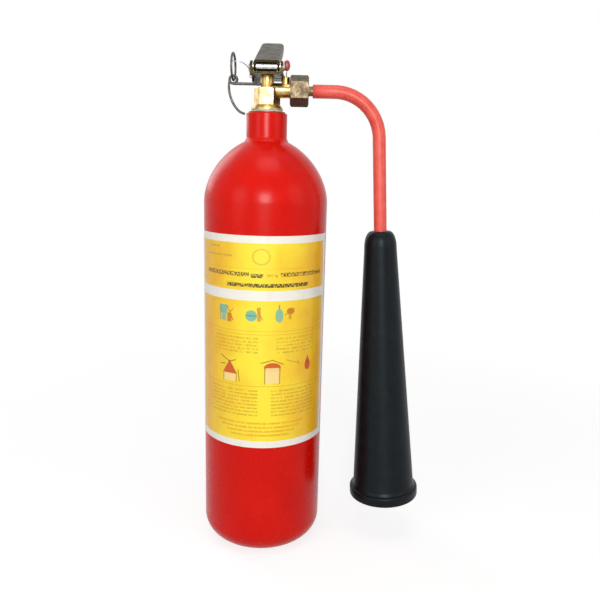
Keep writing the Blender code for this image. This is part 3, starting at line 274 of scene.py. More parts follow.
def metal(name, light, dark, rough, size=0.004, brushed=(1, 1, 1), edge=None, metallic=1.0,
          spots=None):
    """A metal with cloudy tarnish, brushed grain and brighter worn edges."""
    n = Nodes(name)
    cloud = n.noise(size, 5, 0.6)
    grain = n.noise(0.0004, 3, 0.6, brushed)
    colour = n.mix(n.spread(cloud, 0.35, 0.68), dark, light)
    colour = n.mix(n.maths("MULTIPLY", n.spread(grain, *NOISE_SPAN), 0.18), colour, dark)
    if spots is not None:
        spotted = n.spread(n.noise(size * 0.35, 4, 0.7), 0.60, 0.68)
        colour = n.mix(n.maths("MULTIPLY", spotted, 0.7), colour, spots)
    if edge is not None:
        worn = n.maths("MULTIPLY", n.edges(0.0005), n.spread(n.noise(0.0012, 3), 0.35, 0.6),
                       True)
        colour = n.mix(worn, colour, edge)
    roughness = n.maths("ADD", n.spread(cloud, *NOISE_SPAN, rough * 1.25, rough * 0.8),
                        n.spread(grain, *NOISE_SPAN, -0.04, 0.05), True)
    normal = n.bump(grain, METAL_PITS, 0.4)
    return n.finish(colour, roughness, metallic, normal)


def horn_plastic():
    """Satin black moulding: fine grain, faint flow marks and scuffs down its length."""
    n = Nodes("black moulding")
    scuffs = n.noise(0.0011, 5, 0.7, (1, 1, 0.06))
    zone = n.noise(0.03, 3)
    mask = n.maths("MULTIPLY", n.spread(scuffs, 0.60, 0.70), n.spread(zone, 0.48, 0.62), True)
    dust = n.spread(n.noise(0.012, 4), 0.45, 0.75)
    colour = n.mix(dust, (0.0036, 0.0044, 0.0058), (0.0062, 0.0076, 0.0098))
    colour = n.mix(n.maths("MULTIPLY", mask, 0.35), colour, (0.040, 0.046, 0.054))
    roughness = n.between(0.34, 0.44, 0.006, 4)
    roughness = n.maths("ADD", roughness, n.maths("MULTIPLY", mask, 0.10))
    normal = n.bump(n.noise(0.00045, 3), 0.00003, 0.30)
    return n.finish(colour, roughness, 0.0, normal, Specular_Tint=(0.78, 0.93, 1.0, 1.0),
                    Specular_IOR_Level=0.16)


def polymer(name, light, dark, rough, size=0.003):
    """A plain moulded plastic or rubber, a little cloudy."""
    n = Nodes(name)
    colour = n.mix(n.spread(n.noise(size, 4), *CLOUD_SPAN), dark, light)
    roughness = n.between(rough - 0.06, rough + 0.06, size * 0.3)
    normal = n.bump(n.noise(size * 0.12, 3), 0.00002, 0.35)
    return n.finish(colour, roughness, 0.0, normal)


# ----------------------------------------------------------------- label print

class Print:
    """Flat inks on the label. u runs round it and v up it, in metres, from its middle foot."""

    def __init__(self, nodes):
        self.n = nodes
        self.uv = nodes.add("ShaderNodeUVMap", uv_map="print").outputs["UV"]
        parts = nodes.add("ShaderNodeSeparateXYZ")
        nodes.link(self.uv, parts.inputs[0])
        self.u = parts.outputs["X"]
        self.v = parts.outputs["Y"]

    def box(self, u, v, wide, tall):
        """1 inside a rectangle centred on (u, v)."""
        n = self.n
        across = n.maths("LESS_THAN", n.maths("ABSOLUTE", n.maths("SUBTRACT", self.u, u)),
                         wide / 2)
        up = n.maths("LESS_THAN", n.maths("ABSOLUTE", n.maths("SUBTRACT", self.v, v)), tall / 2)
        return n.maths("MULTIPLY", across, up)

    def oval(self, u, v, wide, tall):
        """1 inside an ellipse centred on (u, v)."""
        n = self.n
        across = n.maths("DIVIDE", n.maths("SUBTRACT", self.u, u), wide / 2)
        up = n.maths("DIVIDE", n.maths("SUBTRACT", self.v, v), tall / 2)
        size = n.maths("ADD", n.maths("MULTIPLY", across, across), n.maths("MULTIPLY", up, up))
        return n.maths("LESS_THAN", size, 1.0)

    def gable(self, u, v, wide, tall):
        """A triangle standing on its base, v at the base."""
        n = self.n
        up = n.maths("SUBTRACT", self.v, v)
        reach = n.maths("MULTIPLY", n.maths("SUBTRACT", tall, up), wide / 2 / tall)
        aside = n.maths("ABSOLUTE", n.maths("SUBTRACT", self.u, u))
        return n.maths("MULTIPLY", n.maths("LESS_THAN", aside, reach),
                       n.maths("GREATER_THAN", up, 0.0))

    def slant(self, start, end, thick):
        """1 along a straight stroke between two points."""
        n = self.n
        long = math.dist(start, end)
        du, dv = (end[0] - start[0]) / long, (end[1] - start[1]) / long
        u = n.maths("SUBTRACT", self.u, (start[0] + end[0]) / 2)
        v = n.maths("SUBTRACT", self.v, (start[1] + end[1]) / 2)
        along = n.maths("ADD", n.maths("MULTIPLY", u, du), n.maths("MULTIPLY", v, dv))
        aside = n.maths("SUBTRACT", n.maths("MULTIPLY", u, dv), n.maths("MULTIPLY", v, du))
        return n.maths("MULTIPLY",
                       n.maths("LESS_THAN", n.maths("ABSOLUTE", along), long / 2),
                       n.maths("LESS_THAN", n.maths("ABSOLUTE", aside), thick / 2))

    def strokes(self, pitch, fill, seed):
        """Uneven upright dashes, like a line of print seen from afar."""
        n = self.n
        shifted = n.add("ShaderNodeMapping")
        shifted.inputs["Scale"].default_value = (1 / pitch, 0.45 / pitch, 1)
        shifted.inputs["Location"].default_value = (seed * 7.3, seed * 3.1, seed)
        n.link(self.uv, shifted.inputs["Vector"])
        node = n.add("ShaderNodeTexNoise")
        node.inputs["Scale"].default_value = 1.0
        node.inputs["Detail"].default_value = 2.0
        n.link(shifted.outputs["Vector"], node.inputs["Vector"])
        return n.maths("GREATER_THAN", node.outputs["Fac"], 1.0 - fill)


def line_of_print(sheet, u, v, wide, tall, fill, seed, pitch=0.0014):
    """One line of dashes; pitch is the dashes' width, and fill the share they cover."""
    return sheet.n.maths("MULTIPLY", sheet.box(u, v, wide, tall),
                         sheet.strokes(pitch, fill, seed))


def label_paper(width, height):
    """A printed sheet: white border, yellow field with painted shade that turns it deeper orange
    towards its sides, and plain blocks in place of words.
    """
    n = Nodes("printed label")
    sheet = Print(n)
    white = (0.88, 0.85, 0.77)
    # painted light and shade: the field is the bright yellow in the middle, as if lit, and turns
    # to a randomly varied deep orange towards its sides, where the sheet curves away from the
    # light
    side_shade_orange = n.mix(n.between(0.0, 1.0, 0.02, 2), (0.88, 0.44, 0.014), (0.92, 0.50, 0.020))
    bright = (0.98, 0.77, 0.038)
    aside = n.maths("ABSOLUTE", n.maths("DIVIDE", sheet.u, width / 2))
    cloudy = n.maths("ADD", aside, n.between(-0.22, 0.22, 0.028))
    yellow = n.mix(n.spread(cloudy, 0.08, 0.80), bright, side_shade_orange)
    field = sheet.box(0, height / 2, width - 0.0105, height - 0.0128)
    colour = n.mix(field, white, yellow)

    brown, ink = (0.48, 0.26, 0.02), (0.055, 0.022, 0.004)
    teal, rust = (0.09, 0.44, 0.40), (0.55, 0.12, 0.012)
    red, cream = (0.58, 0.045, 0.006), (0.92, 0.70, 0.30)
    faint, dark, deep_teal = (0.60, 0.34, 0.012), (0.16, 0.05, 0.006), (0.03, 0.20, 0.20)
    # each ink is a mask, a colour and a strength
    inks = [
        # upper panel: two small notes on the left, a plain ring, and two dark lines
        (line_of_print(sheet, -0.047, 0.183, 0.012, 0.0018, 0.6, 2), faint, 0.75),
        (line_of_print(sheet, -0.043, 0.1755, 0.032, 0.0016, 0.6, 3), faint, 0.75),
        (n.maths("SUBTRACT", sheet.oval(0.0, 0.1755, 0.0165, 0.0145),
                 sheet.oval(0.0, 0.1755, 0.0135, 0.0118), True), brown, 0.45),
        (sheet.box(0.002, 0.1652, 0.100, 0.0003), faint, 0.55),
        (line_of_print(sheet, -0.0345, 0.1600, 0.048, 0.0036, 0.52, 4, 0.0009), ink, 0.95),
        (line_of_print(sheet, -0.0035, 0.1590, 0.011, 0.0036, 0.55, 5, 0.0009), ink, 0.90),
        (line_of_print(sheet, 0.0095, 0.1590, 0.010, 0.0026, 0.55, 6), faint, 0.80),
        (line_of_print(sheet, 0.0400, 0.1600, 0.046, 0.0036, 0.52, 7, 0.0009), ink, 0.92),
        (line_of_print(sheet, 0.0065, 0.1505, 0.077, 0.0034, 0.56, 8, 0.0009), ink, 0.97),
        # white band
        (sheet.box(0, 0.1414, width, 0.0090), white, 1.0),
        # row of three round and square signs
        (sheet.box(-0.0360, 0.1275, 0.0085, 0.0075), teal, 0.85),
        (sheet.box(-0.0355, 0.1205, 0.0050, 0.0070), teal, 0.75),
        (sheet.box(-0.0295, 0.1205, 0.0045, 0.0080), rust, 0.80),
        (sheet.oval(-0.0085, 0.1235, 0.0105, 0.0100), teal, 0.85),
        (sheet.box(-0.0015, 0.1248, 0.0030, 0.0125), rust, 0.65),
        (sheet.oval(0.0165, 0.1238, 0.0072, 0.0125), teal, 0.80),
        (sheet.oval(0.0270, 0.1275, 0.0075, 0.0058), rust, 0.85),
        (sheet.box(0.0265, 0.1225, 0.0028, 0.0050), faint, 0.80),
        # rules and small print
        (sheet.box(0, 0.1095, width - 0.018, 0.0005), brown, 0.45),
        (sheet.box(0, 0.1065, width - 0.018, 0.0004), faint, 0.80),
        (sheet.box(0, 0.0588, width - 0.024, 0.0004), faint, 0.90),
        # row of figures: two gabled blocks and a drop
        (sheet.gable(-0.0290, 0.0690, 0.0155, 0.0125), red, 0.90),
        (sheet.box(-0.0290, 0.0655, 0.0125, 0.0070), cream, 0.85),
        (sheet.oval(0.0110, 0.0765, 0.0150, 0.0085), red, 0.90),
        (sheet.box(0.0110, 0.0688, 0.0125, 0.0145), cream, 0.90),
        (sheet.oval(0.0470, 0.0755, 0.0068, 0.0100), red, 0.92),
        (sheet.gable(0.0470, 0.0770, 0.0060, 0.0080), red, 0.92),
    ]
    # straight strokes: two ends, a thickness and a colour
    for start, end, thick, shade in (
            ((-0.0390, 0.0850), (-0.0285, 0.0795), 0.0008, dark),
            ((-0.0290, 0.0800), (-0.0225, 0.0822), 0.0008, dark),
            ((-0.0400, 0.0765), (-0.0335, 0.0772), 0.0007, dark),
            ((-0.0205, 0.0735), (-0.0190, 0.0625), 0.0007, dark),
            ((-0.0358, 0.0690), (-0.0358, 0.0612), 0.0006, dark),
            ((-0.0222, 0.0690), (-0.0222, 0.0612), 0.0006, dark),
            ((0.0005, 0.0805), (0.0120, 0.0835), 0.0008, dark),
            ((0.0120, 0.0830), (0.0215, 0.0790), 0.0007, dark),
            ((0.0042, 0.0755), (0.0042, 0.0610), 0.0007, dark),
            ((0.0178, 0.0755), (0.0178, 0.0610), 0.0007, dark),
            ((0.0240, 0.0830), (0.0370, 0.0785), 0.0007, brown),
            ((0.0345, 0.0815), (0.0385, 0.0768), 0.0006, brown),
            ((-0.0400, 0.1300), (-0.0395, 0.1170), 0.0008, deep_teal),
            ((-0.0320, 0.1310), (-0.0255, 0.1180), 0.0010, rust),
            ((-0.0255, 0.1290), (-0.0310, 0.1225), 0.0009, brown),
            ((-0.0130, 0.1235), (-0.0040, 0.1235), 0.0008, deep_teal),
            ((-0.0035, 0.1300), (0.0020, 0.1195), 0.0009, brown),
            ((0.0165, 0.1300), (0.0165, 0.1335), 0.0010, deep_teal),
            ((0.0215, 0.1240), (0.0310, 0.1300), 0.0008, brown)):
        inks.append((sheet.slant(start, end, thick), shade, 0.85))
    # blocks of small print: top line, rows, pitch, fill, strength, and for each column its
    # middle, its width and its first seed
    for top, rows, pitch, fill, strength, columns in (
            (0.1030, 5, 0.0032, 0.52, 0.75, ((-0.0240, 0.044, 10), (0.0340, 0.040, 20))),
            (0.0545, 8, 0.0033, 0.55, 0.70, ((-0.0270, 0.050, 30), (0.0330, 0.046, 40)))):
        for row in range(rows):
            for u, wide, seed in columns:
                inks.append((line_of_print(sheet, u, top - row * pitch, wide, 0.0015, fill,
                                           seed + row), faint, strength))
    # centred lines at the foot, each shorter than the one above
    for row in range(4):
        v, wide = 0.0235 - row * 0.0038, 0.086 - row * 0.010
        inks.append((line_of_print(sheet, 0.0, v, wide, 0.0017, 0.58, 50 + row),
                     (0.78, 0.38, 0.012), 0.80))
    for mask, shade, strength in inks:
        colour = n.mix(n.maths("MULTIPLY", mask, strength), colour, shade)
    grime = n.spread(n.noise(0.018, 5, 0.6), 0.56, 0.80, 0.0, 0.16)
    colour = n.mix(grime, colour, (0.55, 0.36, 0.10))
    roughness = n.between(0.26, 0.38, 0.006, 4)
    normal = n.bump(n.noise(0.0030, 3), 0.00004, 0.25)
    return n.finish(colour, roughness, 0.0, normal, Coat_Weight=0.08, Coat_Roughness=0.12,
                    Specular_IOR_Level=0.40)


# --------------------------------------------------------------- mesh building

def piece(name, mesh, material, body, replaces, smooth):
    """A new visible piece in place of CAD nodes; smooth is its sharp-edge angle in degrees."""
    mesh.name = name
    mesh.materials.clear()
    mesh.materials.append(material)
    mesh.shade_smooth()
    mesh.set_sharp_from_angle(angle=math.radians(smooth))
    made = bpy.data.objects.new(name, mesh)
    bpy.context.scene.collection.objects.link(made)
    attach(made, body)
    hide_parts(*replaces)
    return made


def mesh_from(bm):
    bmesh.ops.remove_doubles(bm, verts=bm.verts, dist=WELD_MESH)
    bmesh.ops.recalc_face_normals(bm, faces=bm.faces)
    mesh = bpy.data.meshes.new("shape")
    bm.to_mesh(mesh)
    bm.free()
    return mesh


def turned(profile, segments, place=None):
    """A closed outline of (radius, height) points spun about +Z."""
    bm = bmesh.new()
    points = [bm.verts.new((radius, 0, height)) for radius, height in profile]
    edges = [bm.edges.new(pair) for pair in zip(points, points[1:] + points[:1])
             if pair[0].co.x > 0 or pair[1].co.x > 0]
    bmesh.ops.spin(bm, geom=points + edges, cent=(0, 0, 0), axis=(0, 0, 1),
                   angle=2 * math.pi, steps=segments, use_merge=True)
    mesh = mesh_from(bm)
    if place is not None:
        mesh.transform(place)
    return mesh


def arc(centre, radius, start, end, steps):
    """Points round a centre, from one angle to another in degrees."""
    points = []
    for step in range(steps + 1):
        angle = math.radians(start + (end - start) * step / steps)
        points.append((centre[0] + radius * math.cos(angle),
                       centre[1] + radius * math.sin(angle)))
    return points


def swept(path, radii, sides):
    """A round bar along points, with a radius for each."""
    points = [Vector(point) for point in path]
    bm = bmesh.new()
    loops, side = [], None
    for index, point in enumerate(points):
        before, after = points[max(index - 1, 0)], points[min(index + 1, len(points) - 1)]
        along = (after - before).normalized()
        side = along.orthogonal().normalized() if side is None else side
        side = (side - along * side.dot(along)).normalized()
        up = along.cross(side)
        loops.append([bm.verts.new(point + (side * math.cos(a) + up * math.sin(a)) * radii[index])
                      for a in (2 * math.pi * step / sides for step in range(sides))])
    for first, second in zip(loops, loops[1:]):
        for step in range(sides):
            turn = (step + 1) % sides
            bm.faces.new((first[step], first[turn], second[turn], second[step]))
    bm.faces.new(loops[0])
    bm.faces.new(loops[-1])
    return bm


def along_axis(node):
    """The long axis of a turned node: its upper end, its direction down, and its length."""
    places = np.array([vertex.co for vertex in frame["nodes"][node].data.vertices], float)
    middle = places.mean(0)
    spread = np.cov((places - middle).T)
    values, vectors = np.linalg.eigh(spread)
    axis = vectors[:, int(np.argmax(values))]
    axis = axis if axis[2] < 0 else -axis
    lengths = (places - middle) @ axis
    top = middle + axis * lengths.min()
    return Vector(top), Vector(axis), float(lengths.max() - lengths.min())


# --------------------------------------------------------------------- bodywork

def cylinder(paint):
    """The painted bottle: foot, wall, shoulder and neck in one turned shell."""
    low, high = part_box("cylinder_shell")
    radius, top = high.x, high.z

    def shoulder(shrink, neck, count):
        wide = radius - shrink
        last = math.acos((neck / wide) ** (SHOULDER_POWER / 2))
        return [(wide * math.cos(last * step / count) ** (2 / SHOULDER_POWER),
                 SHOULDER_START + (SHOULDER_RISE - shrink)
                 * math.sin(last * step / count) ** (2 / SHOULDER_POWER))
                for step in range(count + 1)]

    outer = [(0, low.z)] + arc((radius - FOOT_CORNER, low.z + FOOT_CORNER), FOOT_CORNER,
                               -90, 0, 28)
    outer += shoulder(0, NECK_RADIUS + NECK_FILLET * 0.4, 44)
    dome = outer[-1][1]
    outer += arc((NECK_RADIUS + NECK_ROUND, dome + NECK_FILLET), NECK_ROUND, 212, 180, 6)
    outer += arc((NECK_RADIUS - NECK_LIP, top - NECK_LIP), NECK_LIP, 0, 90, 5)
    inner = [(NECK_BORE, top)] + list(reversed(shoulder(SHELL_WALL, NECK_BORE, 24)))
    inner += arc((radius - FOOT_CORNER, low.z + FOOT_CORNER + FOOT_EXTRA),
                 FOOT_CORNER - SHELL_WALL, 0, -90, 10)
    mesh = turned(outer + inner + [(0, inner[-1][1])], 160)
    piece("cylinder_paintwork", mesh, paint, "root", ["cylinder_shell"], 50)


def label():
    """The curved sheet, with its print laid out in metres on a UV map."""
    low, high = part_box("label_wrap")
    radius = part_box("cylinder_shell")[1].x + LABEL_GAP + LABEL_SHEET
    height = high.z - low.z
    width = 2 * LABEL_ANGLE * radius
    bm = bmesh.new()
    layer = bm.loops.layers.uv.new("print")
    skins, spot = [], {}
    for depth in (0, LABEL_SHEET):
        grid = []
        for row in range(LABEL_ROWS + 1):
            up = height * row / LABEL_ROWS
            line = []
            for step in range(LABEL_COLUMNS + 1):
                angle = LABEL_ANGLE * (2 * step / LABEL_COLUMNS - 1)
                line.append(bm.verts.new(((radius - depth) * math.sin(angle),
                                          -(radius - depth) * math.cos(angle), low.z + up)))
                spot[line[-1]] = (width * (step / LABEL_COLUMNS - 0.5), up)
            grid.append(line)
        skins.append(grid)
    front, back = skins
    faces = [(grid[row][step], grid[row][step + 1], grid[row + 1][step + 1], grid[row + 1][step])
             for grid in skins for row in range(LABEL_ROWS) for step in range(LABEL_COLUMNS)]
    faces += [(front[row][step], front[row + 1][step], back[row + 1][step], back[row][step])
              for row in range(LABEL_ROWS) for step in (0, LABEL_COLUMNS)]
    faces += [(front[row][step], front[row][step + 1], back[row][step + 1], back[row][step])
              for row in (0, LABEL_ROWS) for step in range(LABEL_COLUMNS)]
    for corners in faces:
        face = bm.faces.new(corners)
        for loop in face.loops:
            loop[layer].uv = spot[loop.vert]
    mesh = mesh_from(bm)
    piece("label_sheet", mesh, label_paper(width, height), "root", ["label_wrap"], 30)


def tube_line(top, axis):
    """The tube's centreline, from the union round the bend to the horn's top."""
    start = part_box("discharge_tube")[0].x
    low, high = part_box("union_nut")
    level = (low.z + high.z) / 2
    lean = math.atan2(axis.x, -axis.z)
    turn = math.pi / 2 - lean
    end_z = level - BEND_RADIUS * (1 - math.cos(turn))
    end_x = top.x - (end_z - top.z) * math.tan(lean)
    bend_x = end_x - BEND_RADIUS * math.sin(turn)
    path = [Vector((start, 0, level))]
    for step in range(BEND_STEPS + 1):
        angle = turn * step / BEND_STEPS
        path.append(Vector((bend_x + BEND_RADIUS * math.sin(angle), 0,
                            level - BEND_RADIUS * (1 - math.cos(angle)))))
    path.append(top + axis * TUBE_IN_HORN)
    return path


def discharge_tube(coating):
    """The bent tube, with a small ease on its end at the union."""
    top, axis, _ = along_axis("horn")
    path = tube_line(top, axis)
    first = path[1] - path[0]
    lead = [path[0], path[0] + first.normalized() * TUBE_END_EASE]
    radii = [TUBE_RADIUS - TUBE_END_EASE] + [TUBE_RADIUS] * len(path)
    mesh = mesh_from(swept(lead + path[1:], radii, 40))
    piece("discharge_tube_paintwork", mesh, coating, "swivel",
          ["discharge_tube"], 50)


def horn(plastic):
    """The hollow horn, turned about its leaning axis, with its rolled rim."""
    top, axis, length = along_axis("horn")
    rim = length - HORN_RIM_HEIGHT
    slope = (HORN_MOUTH - HORN_TOP_RADIUS) / (length - HORN_DOME)
    at_rim = HORN_TOP_RADIUS + slope * (rim - HORN_DOME)
    hole = TUBE_RADIUS + HORN_HOLE_GAP
    flat = hole + HORN_HOLE_LIP
    dome = []
    for step in range(HORN_DOME_STEPS + 1):
        angle = math.pi / 2 * (1 - step / HORN_DOME_STEPS)
        dome.append((flat + (HORN_TOP_RADIUS - flat) * math.cos(angle) ** 0.86,
                     HORN_DOME * (1 - math.sin(angle) ** 0.92)))
    outer = [(hole, 0.0003), (hole + 0.0006, 0)] + dome
    outer += [(at_rim - 0.0003, rim - 0.0040), (at_rim + 0.0003, rim - 0.0022),
              (at_rim + 0.0014, rim - 0.0008)]
    outer += arc((HORN_RIM - 0.0022, rim + 0.0020), 0.0022, -90, 0, 6)
    outer += arc((HORN_RIM - 0.0016, length - 0.0016), 0.0016, 0, 90, 6)
    inner = arc((HORN_MOUTH + 0.0006, length - 0.0010), 0.0010, 90, 180, 4)
    inner += [(HORN_MOUTH - HORN_WALL, length - 0.0060),
              (HORN_TOP_RADIUS - HORN_WALL, HORN_DOME), (0.0122, 0.0118), (0.0112, 0.0074),
              (0.0094, 0.0042), (hole, 0.0030)]
    side = Vector((-axis.z, 0, axis.x))
    place = Matrix((side, axis.cross(side), axis)).transposed().to_4x4()
    mesh = turned(outer + inner, 128, Matrix.Translation(top) @ place)
    piece("horn_moulding", mesh, plastic, "swivel", ["horn"], 45)


def valve_spring(steel):
    """The coil under the poppet."""
    low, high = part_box("valve_spring")
    radius = high.x - SPRING_WIRE
    rise = high.z - low.z - 2 * SPRING_WIRE
    steps = SPRING_TURNS * SPRING_STEPS
    path = []
    for step in range(steps + 1):
        share = step / steps
        angle = 2 * math.pi * SPRING_TURNS * share
        lift = min(max((share - SPRING_DEAD) / (1 - 2 * SPRING_DEAD), 0.0), 1.0)
        path.append((radius * math.cos(angle), radius * math.sin(angle),
                     low.z + SPRING_WIRE
                     + rise * ((1 - SPRING_DEAD) * lift + SPRING_DEAD * share)))
    mesh = mesh_from(swept(path, [SPRING_WIRE] * len(path), 10))
    made = piece("valve_spring_coil", mesh, steel, "root", ["valve_spring"], 70)
    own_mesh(made)


def smooth_group(angle_limit):
    """Smooth shading with sharp edges kept, as a modifier that leaves the mesh alone."""
    group = bpy.data.node_groups.new(f"smooth by {angle_limit} degrees", "GeometryNodeTree")
    group.interface.new_socket("Geometry", in_out="INPUT", socket_type="NodeSocketGeometry")
    group.interface.new_socket("Geometry", in_out="OUTPUT", socket_type="NodeSocketGeometry")
    source = group.nodes.new("NodeGroupInput")
    target = group.nodes.new("NodeGroupOutput")
    faces = group.nodes.new("GeometryNodeSetShadeSmooth")
    faces.domain = "FACE"
    edges = group.nodes.new("GeometryNodeSetShadeSmooth")
    edges.domain = "EDGE"
    angle = group.nodes.new("GeometryNodeInputMeshEdgeAngle")
    limit = group.nodes.new("FunctionNodeCompare")
    limit.data_type = "FLOAT"
    limit.operation = "LESS_THAN"
    limit.inputs[1].default_value = math.radians(angle_limit)
    links = group.links
    links.new(source.outputs[0], faces.inputs["Geometry"])
    links.new(faces.outputs["Geometry"], edges.inputs["Geometry"])
    links.new(angle.outputs["Unsigned Angle"], limit.inputs[0])
    links.new(limit.outputs["Result"], edges.inputs["Shade Smooth"])
    links.new(edges.outputs["Geometry"], target.inputs[0])
    return group


def dress(node, material, group, bevel, rounder):
    """Gives a CAD node its material, and eases its edges with modifiers."""
    shown = frame["nodes"][node]
    shown.data.materials.clear()
    shown.data.materials.append(material)
    weld = shown.modifiers.new("weld", "WELD")
    weld.merge_threshold = WELD_NODE
    smooth = shown.modifiers.new("smooth", "NODES")
    smooth.node_group = group
    if rounder:
        finer = shown.modifiers.new("finer", "SUBSURF")
        finer.levels = 2
        finer.render_levels = 2
    if bevel:
        eased = shown.modifiers.new("ease", "BEVEL")
        eased.width = bevel
        eased.segments = 2
        eased.limit_method = "ANGLE"
        eased.angle_limit = EASE_ANGLE
        eased.harden_normals = True
        eased.use_clamp_overlap = True


def dress_all():
    """Every CAD node that stays visible, with its material, and the valve spring."""
    hard, soft = smooth_group(32), smooth_group(70)
    brass = metal("cast and turned brass", (0.66, 0.46, 0.19), (0.34, 0.22, 0.065), 0.32,
                  0.006, (1, 1, 4), (0.86, 0.66, 0.34), 1.0, (0.20, 0.12, 0.04))
    plated = metal("dark bronze plating", (0.052, 0.034, 0.011), (0.030, 0.019, 0.006), 0.44,
                   0.009, (1, 0.1, 1), (0.22, 0.16, 0.09), 0.92, (0.040, 0.024, 0.010))
    union = metal("brown nickel plating", (0.170, 0.120, 0.065), (0.065, 0.048, 0.026), 0.42,
                  0.005, (0.1, 1, 1), (0.36, 0.28, 0.18), 0.75, (0.06, 0.04, 0.025))
    bright = metal("polished steel", (0.72, 0.72, 0.70), (0.42, 0.42, 0.41), 0.20, 0.004,
                   (1, 1, 1), (0.85, 0.85, 0.84))
    wire = metal("dull steel wire", (0.150, 0.140, 0.130), (0.060, 0.054, 0.048), 0.42, 0.003,
                 (1, 1, 1), None, 0.7, (0.05, 0.036, 0.028))
    seal = metal("seal wire", (0.50, 0.56, 0.64), (0.25, 0.29, 0.34), 0.30, 0.002)
    zinc = metal("zinc plate", (0.52, 0.52, 0.50), (0.30, 0.30, 0.29), 0.34, 0.004)
    passivated = metal("yellow zinc plate", (0.26, 0.20, 0.09), (0.12, 0.085, 0.035), 0.42,
                       0.002, (1, 1, 1), None, 0.6)
    alloy = metal("drawn aluminium", (0.74, 0.74, 0.75), (0.50, 0.50, 0.51), 0.34, 0.006,
                  (1, 1, 0.1))
    nickel = metal("nickel foil", (0.62, 0.60, 0.55), (0.40, 0.38, 0.34), 0.30, 0.003)
    nylon = polymer("natural nylon", (0.72, 0.70, 0.63), (0.56, 0.53, 0.46), 0.48)
    rubber = polymer("black rubber", (0.030, 0.030, 0.030), (0.012, 0.012, 0.012), 0.70, 0.002)
    fibre = polymer("red fibre", (0.30, 0.09, 0.06), (0.18, 0.05, 0.03), 0.75, 0.001)
    tag = polymer("red seal plastic", (0.42, 0.050, 0.030), (0.26, 0.028, 0.018), 0.38, 0.002)
    valve_spring(bright)
    # material, slot, bevel, and the nodes that have them
    machined = (
        (brass, "brass", SOFT_EDGE, ("valve_body", "burst_disc_plug", "handle_lock_nut")),
        (brass, "brass", 0, ("stem_bush", "valve_poppet", "dip_tube_holder", "horn_jet")),
        (plated, "dark_plating", SOFT_EDGE, ("squeeze_lever", "carry_handle")),
        (union, "bronze_plating", SOFT_EDGE, ("union_nut",)),
        (bright, "bright_steel", SOFT_EDGE, ("pivot_rivet",)),
        (bright, "bright_steel", 0, ("pivot_washer_right", "pivot_washer_left", "push_rod")),
        (passivated, "bright_steel", SOFT_EDGE, ("swivel_nipple",)),
        (zinc, "bright_steel", SOFT_EDGE, ("horn_lock_nut",)),
        (passivated, "bright_steel", 0, ("retainer_ring",)),
        (alloy, "aluminium", 0, ("dip_tube",)),
        (nickel, "bright_steel", 0, ("burst_disc",)),
        (nylon, "nylon", 0, ("neck_seal", "seat_disc")),
        (fibre, "rubber", 0, ("outlet_gasket",)))
    for material, slot, bevel, nodes in machined:
        for node in nodes:
            dress(node, material, hard, bevel, False)
    # bent wire and round mouldings, whose facets are wide: node, material, slot, subdivided
    for node, material, slot, rounder in (
            ("safety_pin", wire, "bright_steel", False),
            ("pull_ring", wire, "bright_steel", True),
            ("seal_wire", seal, "bright_steel", True),
            ("stem_oring", rubber, "rubber", True),
            ("seal_tag", tag, "seal_plastic", True)):
        dress(node, material, soft, 0, rounder)


# ------------------------------------------------------------- stage and camera

def sees_background(tree):
    """One for rays from the camera and those that metal or glass sends on."""
    rays = tree.nodes.new("ShaderNodeLightPath")
    total = rays.outputs["Is Camera Ray"]
    for kind in ("Is Glossy Ray", "Is Transmission Ray"):
        either = tree.nodes.new("ShaderNodeMath")
        either.operation = "MAXIMUM"
        tree.links.new(total, either.inputs[0])
        tree.links.new(rays.outputs[kind], either.inputs[1])
        total = either.outputs[0]
    return total


def coloured(tree, kind, grey):
    node = tree.nodes.new(kind)
    node.inputs["Color"].default_value = (grey, grey, grey, 1)
    return node


def glowing(tree, kind, strength):
    node = coloured(tree, kind, 1)
    node.inputs["Strength"].default_value = strength
    return node


def stage():
    """A pale floor that takes the shadow near the object, and is plain white further off."""
    bm = bmesh.new()
    corners = ((-1, -1), (1, -1), (1, 1), (-1, 1))
    bm.faces.new([bm.verts.new((x * FLOOR_SPAN, y * FLOOR_SPAN, 0)) for x, y in corners])
    mesh = bpy.data.meshes.new("floor")
    bm.to_mesh(mesh)
    bm.free()
    made = bpy.data.materials.new("pale floor")
    made.use_nodes = True
    tree = made.node_tree
    tree.nodes.remove(tree.nodes["Principled BSDF"])
    paper = coloured(tree, "ShaderNodeBsdfDiffuse", FLOOR_GREY)
    glow = glowing(tree, "ShaderNodeEmission", FLOOR_GLOW)
    plain = glowing(tree, "ShaderNodeEmission", 1.0)
    both = tree.nodes.new("ShaderNodeAddShader")
    place = tree.nodes.new("ShaderNodeTexCoord")
    away = tree.nodes.new("ShaderNodeVectorMath")
    away.operation = "LENGTH"
    far = tree.nodes.new("ShaderNodeMapRange")
    far.inputs["From Min"].default_value, far.inputs["From Max"].default_value = GLOW_FADE
    fade = tree.nodes.new("ShaderNodeMixShader")
    choice = tree.nodes.new("ShaderNodeMixShader")
    for source, target in (
            (paper.outputs[0], both.inputs[0]),
            (glow.outputs[0], both.inputs[1]),
            (place.outputs["Object"], away.inputs[0]),
            (away.outputs["Value"], far.inputs["Value"]),
            (far.outputs["Result"], fade.inputs[0]),
            (both.outputs[0], fade.inputs[1]),
            (plain.outputs[0], fade.inputs[2]),
            (sees_background(tree), choice.inputs[0]),
            (paper.outputs[0], choice.inputs[1]),
            (fade.outputs[0], choice.inputs[2]),
            (choice.outputs[0], tree.nodes["Material Output"].inputs["Surface"])):
        tree.links.new(source, target)
    mesh.materials.append(made)
    floor = bpy.data.objects.new("floor", mesh)
    bpy.context.scene.collection.objects.link(floor)


